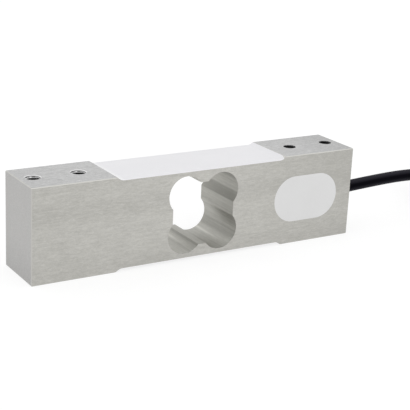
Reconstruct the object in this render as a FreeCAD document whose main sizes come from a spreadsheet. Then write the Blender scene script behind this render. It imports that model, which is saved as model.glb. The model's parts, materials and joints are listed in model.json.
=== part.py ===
import FreeCAD, Part
import math
import os

import Sketcher
from FreeCAD import Placement, Rotation, Vector

# Single point load cell: a milled aluminium bending beam with four strain gauges, a potted wiring
# pocket and a cable. Millimetres. The origin is at the middle of the beam's underside, +X points to
# the cable end, -Y to the face with the pocket, +Z up.

SIZES = {
    # block
    "beam_length": 150.0,
    "beam_width": 25.4,
    "beam_height": 39.0,
    "edge_break": 0.3,
    # shallow recess over the gauges, at the top and the bottom
    "pad_length": 35.6,
    "recess_depth": 1.4,
    "recess_radius": 4.0,
    # four-lobed opening
    "web_thickness": 1.7,
    "lobe_radius": 8.0,
    "lobe_offset": 8.2,
    "window_width": 28.4,
    "window_height": 26.4,
    # tapped holes in the end pads
    "tap_diameter": 5.0,
    "load_sink_diameter": 6.6,
    "fixed_sink_diameter": 5.4,
    "end_distance": 6.0,
    "hole_spacing": 19.0,
    # obround wiring pocket in the front face
    "pocket_length": 32.3,
    "pocket_height": 20.0,
    "pocket_depth": 9.2,
    "pocket_end_wall": 7.8,
    "pocket_level": 19.8,
    # cable and its bore in the end face
    "cable_diameter": 5.2,
    "cable_level": 19.5,
    "cable_inset": 6.2,
    "bore_clearance": 0.2,
    "seal_diameter": 8.0,
    "seal_depth": 3.0,
    "entry_reach": 11.0,
    # drilled passages from the recesses to the pocket
    "passage_diameter": 2.2,
    "passage_inset": 1.6,
    # poured covers over the gauges
    "cover_thickness": 0.4,
    "cover_top_drop": 0.1,
    "cover_bottom_drop": 0.5,
    "cover_bottom_margin": 1.2,
    # strain gauges and their terminal strips
    "film_length": 8.0,
    "film_width": 5.0,
    "film_thickness": 0.08,
    "foil_thickness": 0.04,
    "grid_length": 4.2,
    "strand_width": 0.2,
    "strand_pitch": 0.36,
    "tab_length": 1.4,
    "tab_width": 1.0,
    "strip_position": 22.0,
    "strip_length": 4.0,
    "strip_width": 9.0,
    "strip_pad_length": 2.6,
    "strip_pad_width": 1.6,
    "strip_pad_pitch": 3.0,
    "fine_wire_diameter": 0.2,
    # bridge board in the pocket
    "adhesive_thickness": 0.5,
    "board_length": 16.0,
    "board_height": 13.0,
    "board_thickness": 1.0,
    "board_edge": 5.6,
    "copper_thickness": 0.05,
    "copper_length": 1.6,
    "copper_height": 1.1,
    "copper_edge": 1.3,
    "lead_pad_pitch": 2.0,
    "core_pad_pitch": 2.5,
    "resistor_length": 3.2,
    "resistor_height": 1.6,
    "resistor_thickness": 0.6,
    "resistor_pitch": 3.3,
    "joint_height": 0.7,
    "joint_radius": 0.5,
    # inside of the cable
    "core_diameter": 1.0,
    "core_spread": 0.62,
    "shield_diameter": 3.8,
    "shield_length": 1.2,
    "sleeve_wall": 0.2,
    "sleeve_grip": 2.6,
    # put-away hank of the cable
    "hank_start": 138.0,
    "hank_middle": 5.5,
    "hank_run": 72.8,
    "hank_fold": 31.2,
    "hank_layers": 4.0,
    "tie_width": 6.0,
    "tie_thickness": 0.7,
    # stripped leads at the cable's free end
    "jacket_end": 176.0,
    "lead_diameter": 1.1,
    "drain_diameter": 0.8,
    "tip_length": 5.0,
    "tip_diameter": 0.6,
}

SIDES = ("top", "bottom")
GAUGES = {"load": "-sizes.lobe_offset", "fixed": "sizes.lobe_offset"}
CORE_COLOURS = ("red", "black", "green", "white")
GRID_STRANDS = 8
STRIP_PADS = 3
LEADS_PER_SIDE = 3
BEND_SHARE = 0.45
VOLUME_TOLERANCE = 0.01

# Route of the cable from the end face to the hank, chosen by hand
CABLE_ROUTE = (
    (74.8, -6.5, 19.5),
    (93.0, -6.5, 20.6),
    (111.0, -6.8, 21.2),
    (126.0, -8.0, 20.5),
    (138.0, -9.2, 18.8),
    (148.0, -9.9, 18.4),
)

# Stripped leads on the surface inside the hank: the start's offset from the cable's axis, and the route
LEAD_SPREAD = 0.62
LEAD_FANS = {
    "shield": (
        (-1.6, 0),
        [(171, 18.7, 2.9), (166.5, 14.8, 1.2), (164, 9.0, 0.4), (162.5, 3.4, 0.4)],
    ),
    "white": (
        (-LEAD_SPREAD, -LEAD_SPREAD),
        [(170, 20, 2.4), (164, 16.8, 1.1), (159.5, 11.2, 0.55), (156.5, 5.6, 0.55)],
    ),
    "red": (
        (-LEAD_SPREAD, LEAD_SPREAD),
        [(169, 20.2, 3.5), (161.5, 17.8, 1.6), (155.5, 13, 0.55), (151.5, 7.6, 0.55)],
    ),
    "green": (
        (LEAD_SPREAD, -LEAD_SPREAD),
        [(167, 21.5, 2.4), (159.5, 19.3, 1.1), (153, 15.4, 0.55), (148.9, 10.6, 0.55)],
    ),
    "black": (
        (LEAD_SPREAD, LEAD_SPREAD),
        [(166, 21.8, 3.7), (158, 20.6, 2.0), (152, 17.2, 0.55), (149.2, 13.8, 0.55)],
    ),
}

doc = FreeCAD.newDocument("LoadCell")
sheet = doc.addObject("Spreadsheet::Sheet", "sizes")
for row, (alias, number) in enumerate(SIZES.items(), start=1):
    sheet.set(f"A{row}", alias)
    sheet.set(f"B{row}", str(number))
    sheet.setAlias(f"B{row}", alias)
doc.recompute()

nodes = []


def size(text):
    """Value in mm of an expression on the sheet."""
    value = sheet.evalExpression(text)
    return float(getattr(value, "Value", value))


# Levels and places that several pieces share, as expressions on the sheet
FRONT = "(-sizes.beam_width / 2)"
END = "(sizes.beam_length / 2)"
POCKET_FLOOR = f"({FRONT} + sizes.pocket_depth)"
POCKET_RIGHT = f"({END} - sizes.pocket_end_wall)"
POCKET_LEFT = f"({POCKET_RIGHT} - sizes.pocket_length)"
POCKET_RADIUS = "(sizes.pocket_height / 2)"
CABLE_Y = f"({FRONT} + sizes.cable_inset)"
RECESS_EDGE = f"({END} - sizes.pad_length)"
FLOOR = {"top": "(sizes.beam_height - sizes.recess_depth)", "bottom": "sizes.recess_depth"}
FACE = {"top": "sizes.beam_height", "bottom": "0"}
OUTWARD = {"top": 1, "bottom": -1}
PASSAGE_X = f"({POCKET_LEFT} + sizes.passage_inset)"
BOARD_BACK = f"({POCKET_FLOOR} - sizes.adhesive_thickness)"
BOARD_FACE = f"({BOARD_BACK} - sizes.board_thickness)"
BOARD_LEFT = f"({POCKET_LEFT} + sizes.board_edge)"
BOARD_RIGHT = f"({BOARD_LEFT} + sizes.board_length)"
BOARD_LOW = "(sizes.pocket_level - sizes.board_height / 2)"
LEAD_PAD_X = f"({BOARD_LEFT} + sizes.copper_edge)"
CORE_PAD_X = f"({BOARD_RIGHT} - sizes.copper_edge)"


def level(side, rise):
    """Expression of a height that lies a rise outside a recess floor."""
    return f"({FLOOR[side]} {'+' if side == 'top' else '-'} ({rise}))"


def keep(shape_object, label):
    """Names an object as a sub-part that is written out."""
    shape_object.Label = label
    nodes.append(shape_object)
    return shape_object


def new_body(name):
    """Empty body of a sub-part."""
    return doc.addObject("PartDesign::Body", name)


def sketch_on(body, role, offset):
    """Empty sketch on an origin plane of a body, moved along the plane's normal."""
    sketch = body.newObject("Sketcher::SketchObject", body.Name + "_sketch")
    plane = next(p for p in body.Origin.OriginFeatures if p.Role == role)
    sketch.AttachmentSupport = [(plane, "")]
    sketch.MapMode = "FlatFace"
    sketch.setExpression("AttachmentOffset.Base.z", offset)
    return sketch


def pinned(geometry, point, across, up):
    """Two constraints and their expressions, which tie a point to a place from the sketch's origin."""
    return [
        (Sketcher.Constraint("DistanceX", -1, 1, geometry, point, size(across)), across),
        (Sketcher.Constraint("DistanceY", -1, 1, geometry, point, size(up)), up),
    ]


def of_radius(geometry, radius):
    """Constraint and expression for the radius of a circle or arc."""
    return [(Sketcher.Constraint("Radius", geometry, size(radius)), radius)]


def constrain(sketch, rules):
    """Adds constraints to a sketch in one go; those with an expression follow it."""
    first = sketch.ConstraintCount
    sketch.addConstraint([rule for rule, _ in rules])
    for number, (_, text) in enumerate(rules, start=first):
        if text is not None:
            sketch.setExpression(f"Constraints[{number}]", text)


def draw_circle(sketch, across, up, radius):
    """Full circle with its centre and radius tied to expressions."""
    middle = Vector(size(across), size(up), 0)
    number = sketch.addGeometry(Part.Circle(middle, Vector(0, 0, 1), size(radius)), False)
    constrain(sketch, pinned(number, 3, across, up) + of_radius(number, radius))


def draw_outline(sketch, corners):
    """Closed outline, counterclockwise. Each corner is (across, up, bend), where bend is None for a
    straight side to the next corner, or (radius, turn) for an arc that turns left (1) or right (-1)."""
    ends = []
    rules = []
    for (across, up, bend), (next_across, next_up, _) in zip(corners, corners[1:] + corners[:1]):
        first = Vector(size(across), size(up), 0)
        last = Vector(size(next_across), size(next_up), 0)
        if bend is None:
            side = sketch.addGeometry(Part.LineSegment(first, last), False)
            ends.append((side, 1, 2))
            continue
        radius, turn = bend
        chord = last - first
        rise = math.sqrt(max(size(radius) ** 2 - chord.Length**2 / 4, 0))
        left = Vector(-chord.y, chord.x, 0).normalize()
        middle = (first + last) * 0.5 + left * rise * turn
        angles = [math.atan2((p - middle).y, (p - middle).x) for p in (first, last)]
        if turn < 0:
            angles.reverse()
        circle = Part.Circle(middle, Vector(0, 0, 1), size(radius))
        side = sketch.addGeometry(Part.ArcOfCircle(circle, *angles), False)
        rules += of_radius(side, radius)
        ends.append((side, 1, 2) if turn > 0 else (side, 2, 1))
    for corner, (side, start, end), (following, next_start, _) in zip(corners, ends, ends[1:] + ends[:1]):
        rules.append((Sketcher.Constraint("Coincident", side, end, following, next_start), None))
        rules += pinned(side, start, corner[0], corner[1])
    constrain(sketch, rules)


def draw_rectangle(sketch, left, right, low, high):
    """Rectangle with its four sides tied to expressions."""
    corners = [(left, low), (right, low), (right, high), (left, high)]
    draw_outline(sketch, [(across, up, None) for across, up in corners])


def draw_obround(sketch, left, right, up, radius):
    """Slot with round ends, from the outermost left to the outermost right point."""
    centres = [f"{left} + {radius}", f"{right} - {radius}"]
    round_ends = []
    for across, first_angle in zip(centres, (math.pi / 2, -math.pi / 2)):
        circle = Part.Circle(Vector(size(across), size(up), 0), Vector(0, 0, 1), size(radius))
        arc = Part.ArcOfCircle(circle, first_angle, first_angle + math.pi)
        round_ends.append(sketch.addGeometry(arc, False))
    x = [size(across) for across in centres]
    y = [size(f"{up} - {radius}"), size(f"{up} + {radius}")]
    low = sketch.addGeometry(Part.LineSegment(Vector(x[0], y[0], 0), Vector(x[1], y[0], 0)), False)
    high = sketch.addGeometry(Part.LineSegment(Vector(x[1], y[1], 0), Vector(x[0], y[1], 0)), False)
    ring = [round_ends[0], low, round_ends[1], high]
    rules = [
        (Sketcher.Constraint("Tangent", side, 2, following, 1), None)
        for side, following in zip(ring, ring[1:] + ring[:1])
    ]
    rules.append((Sketcher.Constraint("Equal", *round_ends), None))
    for side, across in zip(round_ends, centres):
        rules += pinned(side, 3, across, up)
    constrain(sketch, rules + of_radius(round_ends[0], radius))


def pad(body, sketch, length, reverse=False):
    """Solid raised from a sketch along its normal, or against it."""
    feature = body.newObject("PartDesign::Pad", sketch.Name + "_pad")
    feature.Profile = sketch
    feature.Reversed = reverse
    feature.setExpression("Length", length)
    doc.recompute()
    return feature


def pocket(body, sketch, depth=None, reverse=False):
    """Cut from a sketch against its normal, or along it; through everything without a depth."""
    before = body.Shape.Volume
    feature = body.newObject("PartDesign::Pocket", sketch.Name + "_pocket")
    feature.Profile = sketch
    feature.Reversed = reverse
    if depth is None:
        feature.Type = "ThroughAll"
    else:
        feature.setExpression("Length", depth)
    doc.recompute()
    if not body.Shape.Volume < before:
        raise RuntimeError(f"{feature.Name} cuts nothing")
    return feature


def cut_round(label, base, tools):
    """A piece cut round the pieces that it encloses, one after the other."""
    for number, tool in enumerate(tools):
        cut = doc.addObject("Part::Cut", f"{label}_round_{number}")
        cut.Base = base
        cut.Tool = tool
        base = cut
    doc.recompute()
    return keep(base, label)


def feature_of(label, shape):
    """A sub-part whose shape is made by Part's own functions."""
    feature = doc.addObject("Part::Feature", label)
    feature.Shape = shape
    return keep(feature, label)


def bend_radii(points):
    """Radius at each inner point of a route: a share of the shorter run over the tangent of half the turn."""
    radii = []
    for before, here, after in zip(points, points[1:], points[2:]):
        turn = (here - before).getAngle(after - here)
        shorter = min((here - before).Length, (after - here).Length)
        radii.append(BEND_SHARE * shorter / math.tan(turn / 2))
    return radii


def rounded_route(points):
    """Wire of straight runs joined by tangent arcs."""
    edges = []
    start = points[0]
    for before, here, after, radius in zip(points, points[1:], points[2:], bend_radii(points)):
        arriving = (here - before).normalize()
        leaving = (after - here).normalize()
        turn = arriving.getAngle(leaving)
        reach = radius * math.tan(turn / 2)
        first = here - arriving * reach
        last = here + leaving * reach
        inward = (leaving - arriving).normalize()
        middle = here + inward * radius * (1 / math.cos(turn / 2) - 1)
        edges.append(Part.LineSegment(start, first).toShape())
        edges.append(Part.Arc(first, middle, last).toShape())
        start = last
    edges.append(Part.LineSegment(start, points[-1]).toShape())
    return Part.Wire(edges)


def tube(points, diameter):
    """Round solid along a route, checked against its section times its length."""
    points = [Vector(*point) for point in points]
    route = rounded_route(points)
    section = Part.Wire([Part.Circle(points[0], points[1] - points[0], diameter / 2).toShape()])
    solid = route.makePipeShell([section], True, False)
    expected = math.pi * diameter**2 / 4 * route.Length
    if abs(solid.Volume - expected) > VOLUME_TOLERANCE * expected:
        raise RuntimeError(f"tube volume {solid.Volume:.2f}, expected {expected:.2f}")
    return solid


def boxes(label, places, spans):
    """Group of equal boxes with their low corners at the places, all tied to expressions."""
    group = []
    for number, place in enumerate(places):
        box = doc.addObject("Part::Box", f"{label}_{number}")
        for side, span in zip(("Length", "Width", "Height"), spans):
            box.setExpression(side, span)
        for axis, text in zip("xyz", place):
            box.setExpression(f"Placement.Base.{axis}", text)
        group.append(box)
    if len(group) == 1:
        return keep(group[0], label)
    compound = doc.addObject("Part::Compound", label)
    compound.Links = group
    return keep(compound, label)


def recess_run(drop="0"):
    """Length along X of a recess's end arc, from a drop below the pad down to the floor."""
    rise = f"(sizes.recess_radius - sizes.recess_depth + {drop})"
    return f"sqrt(sizes.recess_radius ^ 2 - {rise} ^ 2)"


def beam():
    """Block milled from the solid: recesses, opening, pocket, bores and tapped holes."""
    body = new_body("beam")
    stock = sketch_on(body, "XY_Plane", "0")
    draw_rectangle(stock, f"-{END}", END, FRONT, f"-{FRONT}")
    blank = pad(body, stock, "sizes.beam_height")
    breaks = body.newObject("PartDesign::Chamfer", "edge_breaks")
    breaks.Base = (blank, [f"Edge{number + 1}" for number in range(len(blank.Shape.Edges))])
    breaks.setExpression("Size", "sizes.edge_break")
    doc.recompute()
    for side in SIDES:
        mill_recess(body, side)
    mill_opening(body)
    mill_pocket(body)
    for side in SIDES:
        drill_passage(body, side)
        for end in GAUGES:
            tap_holes(body, side, end)
    return keep(body, "beam_body")


def mill_recess(body, side):
    """Shallow recess across the full width, with round ends that run out tangent to its floor."""
    sketch = sketch_on(body, "XZ_Plane", f"-{FRONT}")
    edge = RECESS_EDGE
    foot = f"({RECESS_EDGE} - {recess_run()})"
    clear = level(side, "2 * sizes.recess_depth")
    face = FACE[side]
    floor = FLOOR[side]
    arc = ("sizes.recess_radius", OUTWARD[side])
    corners = [
        (f"-{edge}", face, arc),
        (f"-{foot}", floor, None),
        (foot, floor, arc),
        (edge, face, None),
        (edge, clear, None),
        (f"-{edge}", clear, None),
    ]
    draw_outline(sketch, corners)
    pocket(body, sketch)


def mill_opening(body):
    """Window and four round lobes that leave a thin web above and below each lobe."""
    window = sketch_on(body, "XZ_Plane", f"-{FRONT}")
    half = "sizes.window_height / 2"
    middle = "sizes.beam_height / 2"
    draw_rectangle(
        window,
        "-sizes.window_width / 2",
        "sizes.window_width / 2",
        f"{middle} - {half}",
        f"{middle} + {half}",
    )
    pocket(body, window)
    for side in SIDES:
        for across in GAUGES.values():
            lobe = sketch_on(body, "XZ_Plane", f"-{FRONT}")
            inward = "-(sizes.web_thickness + sizes.lobe_radius)"
            draw_circle(lobe, across, level(side, inward), "sizes.lobe_radius")
            pocket(body, lobe)


def mill_pocket(body):
    """Obround pocket in the front face, and the cable's bore and seal seat in the end face."""
    outline = sketch_on(body, "XZ_Plane", f"-{FRONT}")
    draw_obround(outline, POCKET_LEFT, POCKET_RIGHT, "sizes.pocket_level", POCKET_RADIUS)
    pocket(body, outline, "sizes.pocket_depth")
    bore = sketch_on(body, "YZ_Plane", END)
    draw_circle(bore, CABLE_Y, "sizes.cable_level", "sizes.cable_diameter / 2 + sizes.bore_clearance")
    pocket(body, bore, f"sizes.pocket_end_wall + {POCKET_RADIUS} / 2")
    seat = sketch_on(body, "YZ_Plane", END)
    draw_circle(seat, CABLE_Y, "sizes.cable_level", "sizes.seal_diameter / 2")
    pocket(body, seat, "sizes.seal_depth")


def drill_passage(body, side):
    """Hole for the gauge leads, from a recess floor into the pocket."""
    sketch = sketch_on(body, "XY_Plane", FLOOR[side])
    draw_circle(sketch, PASSAGE_X, CABLE_Y, "sizes.passage_diameter / 2")
    depth = f"abs({FLOOR[side]} - sizes.pocket_level)"
    pocket(body, sketch, depth, reverse=side == "bottom")


def tap_holes(body, side, end):
    """Two holes through an end pad, drilled for an M6 thread and countersunk from this side: well out at
    the load end, and just enough to break the edge at the fixed end."""
    sketch = sketch_on(body, "XY_Plane", FACE[side])
    sign = "-" if end == "load" else ""
    outer = f"({END} - sizes.end_distance)"
    for across in (outer, f"({outer} - sizes.hole_spacing)"):
        draw_circle(sketch, f"{sign}{across}", "0", "sizes.tap_diameter / 2")
    doc.recompute()
    before = body.Shape.Volume
    hole = body.newObject("PartDesign::Hole", f"tapped_holes_{side}_{end}")
    hole.Profile = sketch
    doc.recompute()
    hole.Reversed = side == "bottom"
    hole.ThreadType = "None"
    hole.DepthType = "ThroughAll"
    hole.setExpression("Diameter", "sizes.tap_diameter")
    hole.HoleCutType = "Countersink"
    hole.HoleCutCustomValues = True
    hole.setExpression("HoleCutDiameter", f"sizes.{end}_sink_diameter")
    hole.HoleCutCountersinkAngle = 90
    doc.recompute()
    if not body.Shape.Volume < before:
        raise RuntimeError(f"{hole.Name} cuts nothing")


def gauge_film(side, end):
    """Carrier film of one strain gauge, on the recess floor over a thin web."""
    body = new_body(f"film_{side}_{end}")
    sketch = sketch_on(body, "XY_Plane", FLOOR[side])
    middle = GAUGES[end]
    left = f"{middle} - sizes.film_length / 2"
    right = f"{middle} + sizes.film_length / 2"
    draw_rectangle(sketch, left, right, "-sizes.film_width / 2", "sizes.film_width / 2")
    pad(body, sketch, "sizes.film_thickness", reverse=side == "bottom")
    return keep(body, f"gauge_film_{side}_{end}")


def gauge_grid(side, end):
    """Etched foil grid of one gauge: strands along the beam, joined end to end, with a tab at each end."""
    body = new_body(f"grid_{side}_{end}")
    sketch = sketch_on(body, "XY_Plane", level(side, "sizes.film_thickness"))
    left = f"({GAUGES[end]} - sizes.grid_length / 2 - sizes.tab_length / 2)"
    right = f"({left} + sizes.grid_length)"
    draw_outline(sketch, grid_corners(left, right))
    pad(body, sketch, "sizes.foil_thickness", reverse=side == "bottom")
    return keep(body, f"gauge_grid_{side}_{end}")


def strand_edge(number, edge):
    """Expression of a strand's lower (-1) or upper (1) edge, counted from the grid's middle."""
    steps = number - (GRID_STRANDS - 1) / 2
    return f"({steps} * sizes.strand_pitch + {edge / 2} * sizes.strand_width)"


def grid_corners(left, right):
    """Corners of the meander: out along the outer edges of the strands and back along the inner ones.
    The first and the last strand end in a tab on the right."""
    last = GRID_STRANDS - 1
    tab_right = f"({right} + sizes.tab_length)"
    low_tab = f"({strand_edge(0, 1)} - sizes.tab_width)"
    high_tab = f"({strand_edge(last, -1)} + sizes.tab_width)"
    inner_left = f"({left} + sizes.strand_width)"
    inner_right = f"({right} - sizes.strand_width)"
    outline = [
        (left, strand_edge(0, -1)),
        (right, strand_edge(0, -1)),
        (right, low_tab),
        (tab_right, low_tab),
        (tab_right, strand_edge(0, 1)),
    ]
    for number in range(0, last, 2):
        outline.append((inner_left, strand_edge(number, 1)))
        outline.append((inner_left, strand_edge(number + 1, -1)))
        if number + 1 < last:
            outline.append((right, strand_edge(number + 1, -1)))
            outline.append((right, strand_edge(number + 2, 1)))
    outline += [
        (tab_right, strand_edge(last, -1)),
        (tab_right, high_tab),
        (right, high_tab),
        (right, strand_edge(last, 1)),
        (left, strand_edge(last, 1)),
    ]
    for number in range(last - 1, 0, -2):
        outline.append((left, strand_edge(number, -1)))
        outline.append((inner_right, strand_edge(number, -1)))
        outline.append((inner_right, strand_edge(number - 1, 1)))
        outline.append((left, strand_edge(number - 1, 1)))
    return [(across, up, None) for across, up in outline]


def terminal_strip(side):
    """Laminate strip with solder pads, between the gauges and the passage."""
    body = new_body(f"strip_{side}")
    sketch = sketch_on(body, "XY_Plane", FLOOR[side])
    middle = "sizes.strip_position"
    draw_rectangle(
        sketch,
        f"{middle} - sizes.strip_length / 2",
        f"{middle} + sizes.strip_length / 2",
        "-sizes.strip_width / 2",
        "sizes.strip_width / 2",
    )
    pad(body, sketch, "sizes.film_thickness", reverse=side == "bottom")
    first = sketch_on(body, "XY_Plane", level(side, "sizes.film_thickness"))
    start = f"({(1 - STRIP_PADS) / 2} * sizes.strip_pad_pitch)"
    draw_rectangle(
        first,
        f"{middle} - sizes.strip_pad_length / 2",
        f"{middle} + sizes.strip_pad_length / 2",
        f"{start} - sizes.strip_pad_width / 2",
        f"{start} + sizes.strip_pad_width / 2",
    )
    solder_pad = pad(body, first, "sizes.foil_thickness", reverse=side == "bottom")
    row = body.newObject("PartDesign::LinearPattern", f"pads_{side}")
    row.Originals = [solder_pad]
    row.Direction = (first, ["V_Axis"])
    row.Occurrences = STRIP_PADS
    row.setExpression("Length", f"sizes.strip_pad_pitch * {STRIP_PADS - 1}")
    body.Tip = row
    doc.recompute()
    return keep(body, f"terminal_strip_{side}")


def wire_level(side):
    """Height of a fine wire's centre where it lies on a tab or a pad."""
    lift = "sizes.film_thickness + sizes.foil_thickness + sizes.fine_wire_diameter / 2"
    return size(level(side, lift))


def tab_places(end):
    """Places of a gauge's low and high tab."""
    across = size(f"{GAUGES[end]} + sizes.grid_length / 2")
    low = size(f"{strand_edge(0, 1)} - sizes.tab_width / 2")
    high = size(f"{strand_edge(GRID_STRANDS - 1, -1)} + sizes.tab_width / 2")
    return (across, low), (across, high)


def gauge_jumpers(side):
    """Four fine wires from the gauges' tabs to the strip; the load end's pair passes beside the film."""
    fine = size("sizes.fine_wire_diameter")
    pad_start = size("sizes.strip_position - sizes.strip_pad_length / 4")
    pitch = size("sizes.strip_pad_pitch")
    gap = 3 * fine
    before_film = size(f"{GAUGES['load']} + sizes.film_length / 2") + gap
    beside = size("sizes.film_width / 2") + 4 * fine
    leave = size(f"{GAUGES['fixed']} + sizes.film_length / 2") + 2.5 * fine
    round_film = leave + 5 * fine
    arrive = leave + 15 * fine
    (far_x, far_low), (_, far_high) = tab_places("load")
    (near_x, near_low), (_, near_high) = tab_places("fixed")
    routes = [
        [(near_x, near_high), (leave, near_high), (arrive, pitch), (pad_start, pitch)],
        [(near_x, near_low), (leave, near_low), (arrive, gap / 2), (pad_start, gap / 2)],
        [
            (far_x, far_low),
            (before_film, -beside),
            (round_film, -beside - fine / 2),
            (arrive + gap, -gap / 2),
            (pad_start, -gap / 2 - fine / 4),
        ],
        [
            (far_x, far_high),
            (before_film, beside),
            (round_film, beside + gap),
            (pad_start - 5 * fine, pitch + gap),
            (pad_start + gap, pitch + gap / 2),
        ],
    ]
    z = wire_level(side)
    wires = [tube([(x, y, z) for x, y in route], fine) for route in routes]
    return feature_of(f"gauge_jumpers_{side}", Part.makeCompound(wires))


def lead_pad_levels():
    """Heights of the board's pads for the gauge leads, from the lowest up."""
    middle = size("sizes.pocket_level")
    pitch = size("sizes.lead_pad_pitch")
    count = LEADS_PER_SIDE * len(SIDES)
    return [middle + (number - (count - 1) / 2) * pitch for number in range(count)]


def gauge_leads(side):
    """Three fine wires from the strip, down the drilled passage and across to the board. Side by side in
    the passage, they dip into it from the recess floor and turn towards the board below the potting."""
    fine = size("sizes.fine_wire_diameter")
    strip_z = wire_level(side)
    strip_x = size("sizes.strip_position + sizes.strip_pad_length / 4")
    pitch = size("sizes.strip_pad_pitch")
    bend = 10 * fine * OUTWARD[side]
    joint_x = size(LEAD_PAD_X)
    joint_y = size(f"{BOARD_FACE} - sizes.copper_thickness") - fine
    levels = lead_pad_levels()
    levels = levels[LEADS_PER_SIDE:][::-1] if side == "top" else levels[:LEADS_PER_SIDE]
    wires = []
    for number, pad_z in enumerate(levels):
        step = number - (LEADS_PER_SIDE - 1) / 2
        x = size(PASSAGE_X) + 1.5 * fine * step
        y = size(CABLE_Y) + 2 * fine * step
        route = [
            (strip_x, pitch * step, strip_z),
            (x - 5.5 * fine, y + 4 * fine, strip_z),
            (x, y, strip_z),
            (x + fine / 2, y, pad_z + bend),
            (x + 9 * fine, y - 1.5 * fine, pad_z),
            (joint_x - 7.5 * fine, joint_y - 4 * fine, pad_z),
            (joint_x, joint_y, pad_z),
        ]
        wires.append(tube(route, fine))
    return feature_of(f"gauge_leads_{side}", Part.makeCompound(wires))


def gauge_cover(side, drop, margin, tools):
    """Poured white cover: it fills the recess's foot and ends thinly on the end arcs."""
    body = new_body(f"cover_{side}")
    sketch = sketch_on(body, "XZ_Plane", f"-{FRONT} - {margin}")
    edge = f"({RECESS_EDGE} - {recess_run()} + {recess_run(drop)})"
    foot = f"({RECESS_EDGE} - {recess_run()})"
    rim = level(side, f"sizes.recess_depth - {drop}")
    skin = level(side, "sizes.cover_thickness")
    rise = f"(sizes.recess_depth - {drop} - sizes.cover_thickness)"
    skin_foot = f"({edge} - sqrt(2 * sizes.recess_radius * {rise} - {rise} ^ 2))"
    turn = OUTWARD[side]
    corners = [
        (f"-{edge}", rim, ("sizes.recess_radius", turn)),
        (f"-{foot}", FLOOR[side], None),
        (foot, FLOOR[side], ("sizes.recess_radius", turn)),
        (edge, rim, ("sizes.recess_radius", -turn)),
        (skin_foot, skin, None),
        (f"-{skin_foot}", skin, ("sizes.recess_radius", -turn)),
    ]
    draw_outline(sketch, corners)
    pad(body, sketch, f"sizes.beam_width - 2 * {margin}", reverse=True)
    return cut_round(f"{side}_gauge_cover", body, tools)


def board():
    """Bridge board on its adhesive pad, with copper pads, trim resistors and solder joints."""
    spans = ("sizes.board_length", "sizes.adhesive_thickness", "sizes.board_height")
    adhesive = boxes("board_adhesive", [(BOARD_LEFT, BOARD_BACK, BOARD_LOW)], spans)
    spans = ("sizes.board_length", "sizes.board_thickness", "sizes.board_height")
    laminate = boxes("bridge_board", [(BOARD_LEFT, BOARD_FACE, BOARD_LOW)], spans)
    copper_face = f"{BOARD_FACE} - sizes.copper_thickness"
    low = "sizes.copper_height / 2"
    leads = [
        (f"{LEAD_PAD_X} - sizes.copper_length / 2", copper_face, f"{height} - {low}")
        for height in lead_pad_levels()
    ]
    cores = [
        (f"{CORE_PAD_X} - sizes.copper_length / 2", copper_face, f"{height} - {low}")
        for height in core_pad_levels()
    ]
    spans = ("sizes.copper_length", "sizes.copper_thickness", "sizes.copper_height")
    copper = boxes("board_pads", leads + cores, spans)
    middle = f"({BOARD_LEFT} + sizes.board_length / 2 - sizes.resistor_length / 2)"
    face = f"{BOARD_FACE} - sizes.resistor_thickness"
    places = [
        (middle, face, f"sizes.pocket_level + {step} * sizes.resistor_pitch - sizes.resistor_height / 2")
        for step in (-1, 0, 1)
    ]
    spans = ("sizes.resistor_length", "sizes.resistor_thickness", "sizes.resistor_height")
    resistors = boxes("trim_resistors", places, spans)
    return [adhesive, laminate, copper, resistors]


def core_pad_levels():
    """Heights of the board's pads for the cable's cores and, in the middle, its shield."""
    middle = size("sizes.pocket_level")
    pitch = size("sizes.core_pad_pitch")
    return [middle + step * pitch for step in (-2, -1, 0, 1, 2)]


def solder_joints(tools):
    """Small cones of solder on the board's pads, cut round the wires that end in them."""
    face = size(f"{BOARD_FACE} - sizes.copper_thickness")
    places = [(size(LEAD_PAD_X), height) for height in lead_pad_levels()]
    places += [(size(CORE_PAD_X), height) for height in core_pad_levels()]
    cones = []
    for number, (x, z) in enumerate(places):
        cone = doc.addObject("Part::Cone", f"solder_{number}")
        cone.setExpression("Radius1", "sizes.joint_radius")
        cone.setExpression("Radius2", "sizes.joint_radius / 2")
        cone.setExpression("Height", "sizes.joint_height")
        cone.Placement = Placement(Vector(x, face, z), Rotation(Vector(1, 0, 0), 90))
        cones.append(cone)
    group = doc.addObject("Part::Compound", "solder")
    group.Links = cones
    return cut_round("solder_joints", group, tools)


def ring(label, start, length, inner, outer):
    """Round sleeve about the cable's axis, from a place along X."""
    rod = doc.addObject("Part::Cylinder", label + "_rod")
    rod.setExpression("Radius", outer)
    rod.setExpression("Height", length)
    hollow = doc.addObject("Part::Cylinder", label + "_hollow")
    hollow.setExpression("Radius", inner)
    hollow.setExpression("Height", length)
    for cylinder in (rod, hollow):
        cylinder.Placement = Placement(Vector(), Rotation(Vector(0, 1, 0), 90))
        cylinder.setExpression("Placement.Base.x", start)
        cylinder.setExpression("Placement.Base.y", CABLE_Y)
        cylinder.setExpression("Placement.Base.z", "sizes.cable_level")
    return cut_round(label, rod, [hollow])


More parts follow.
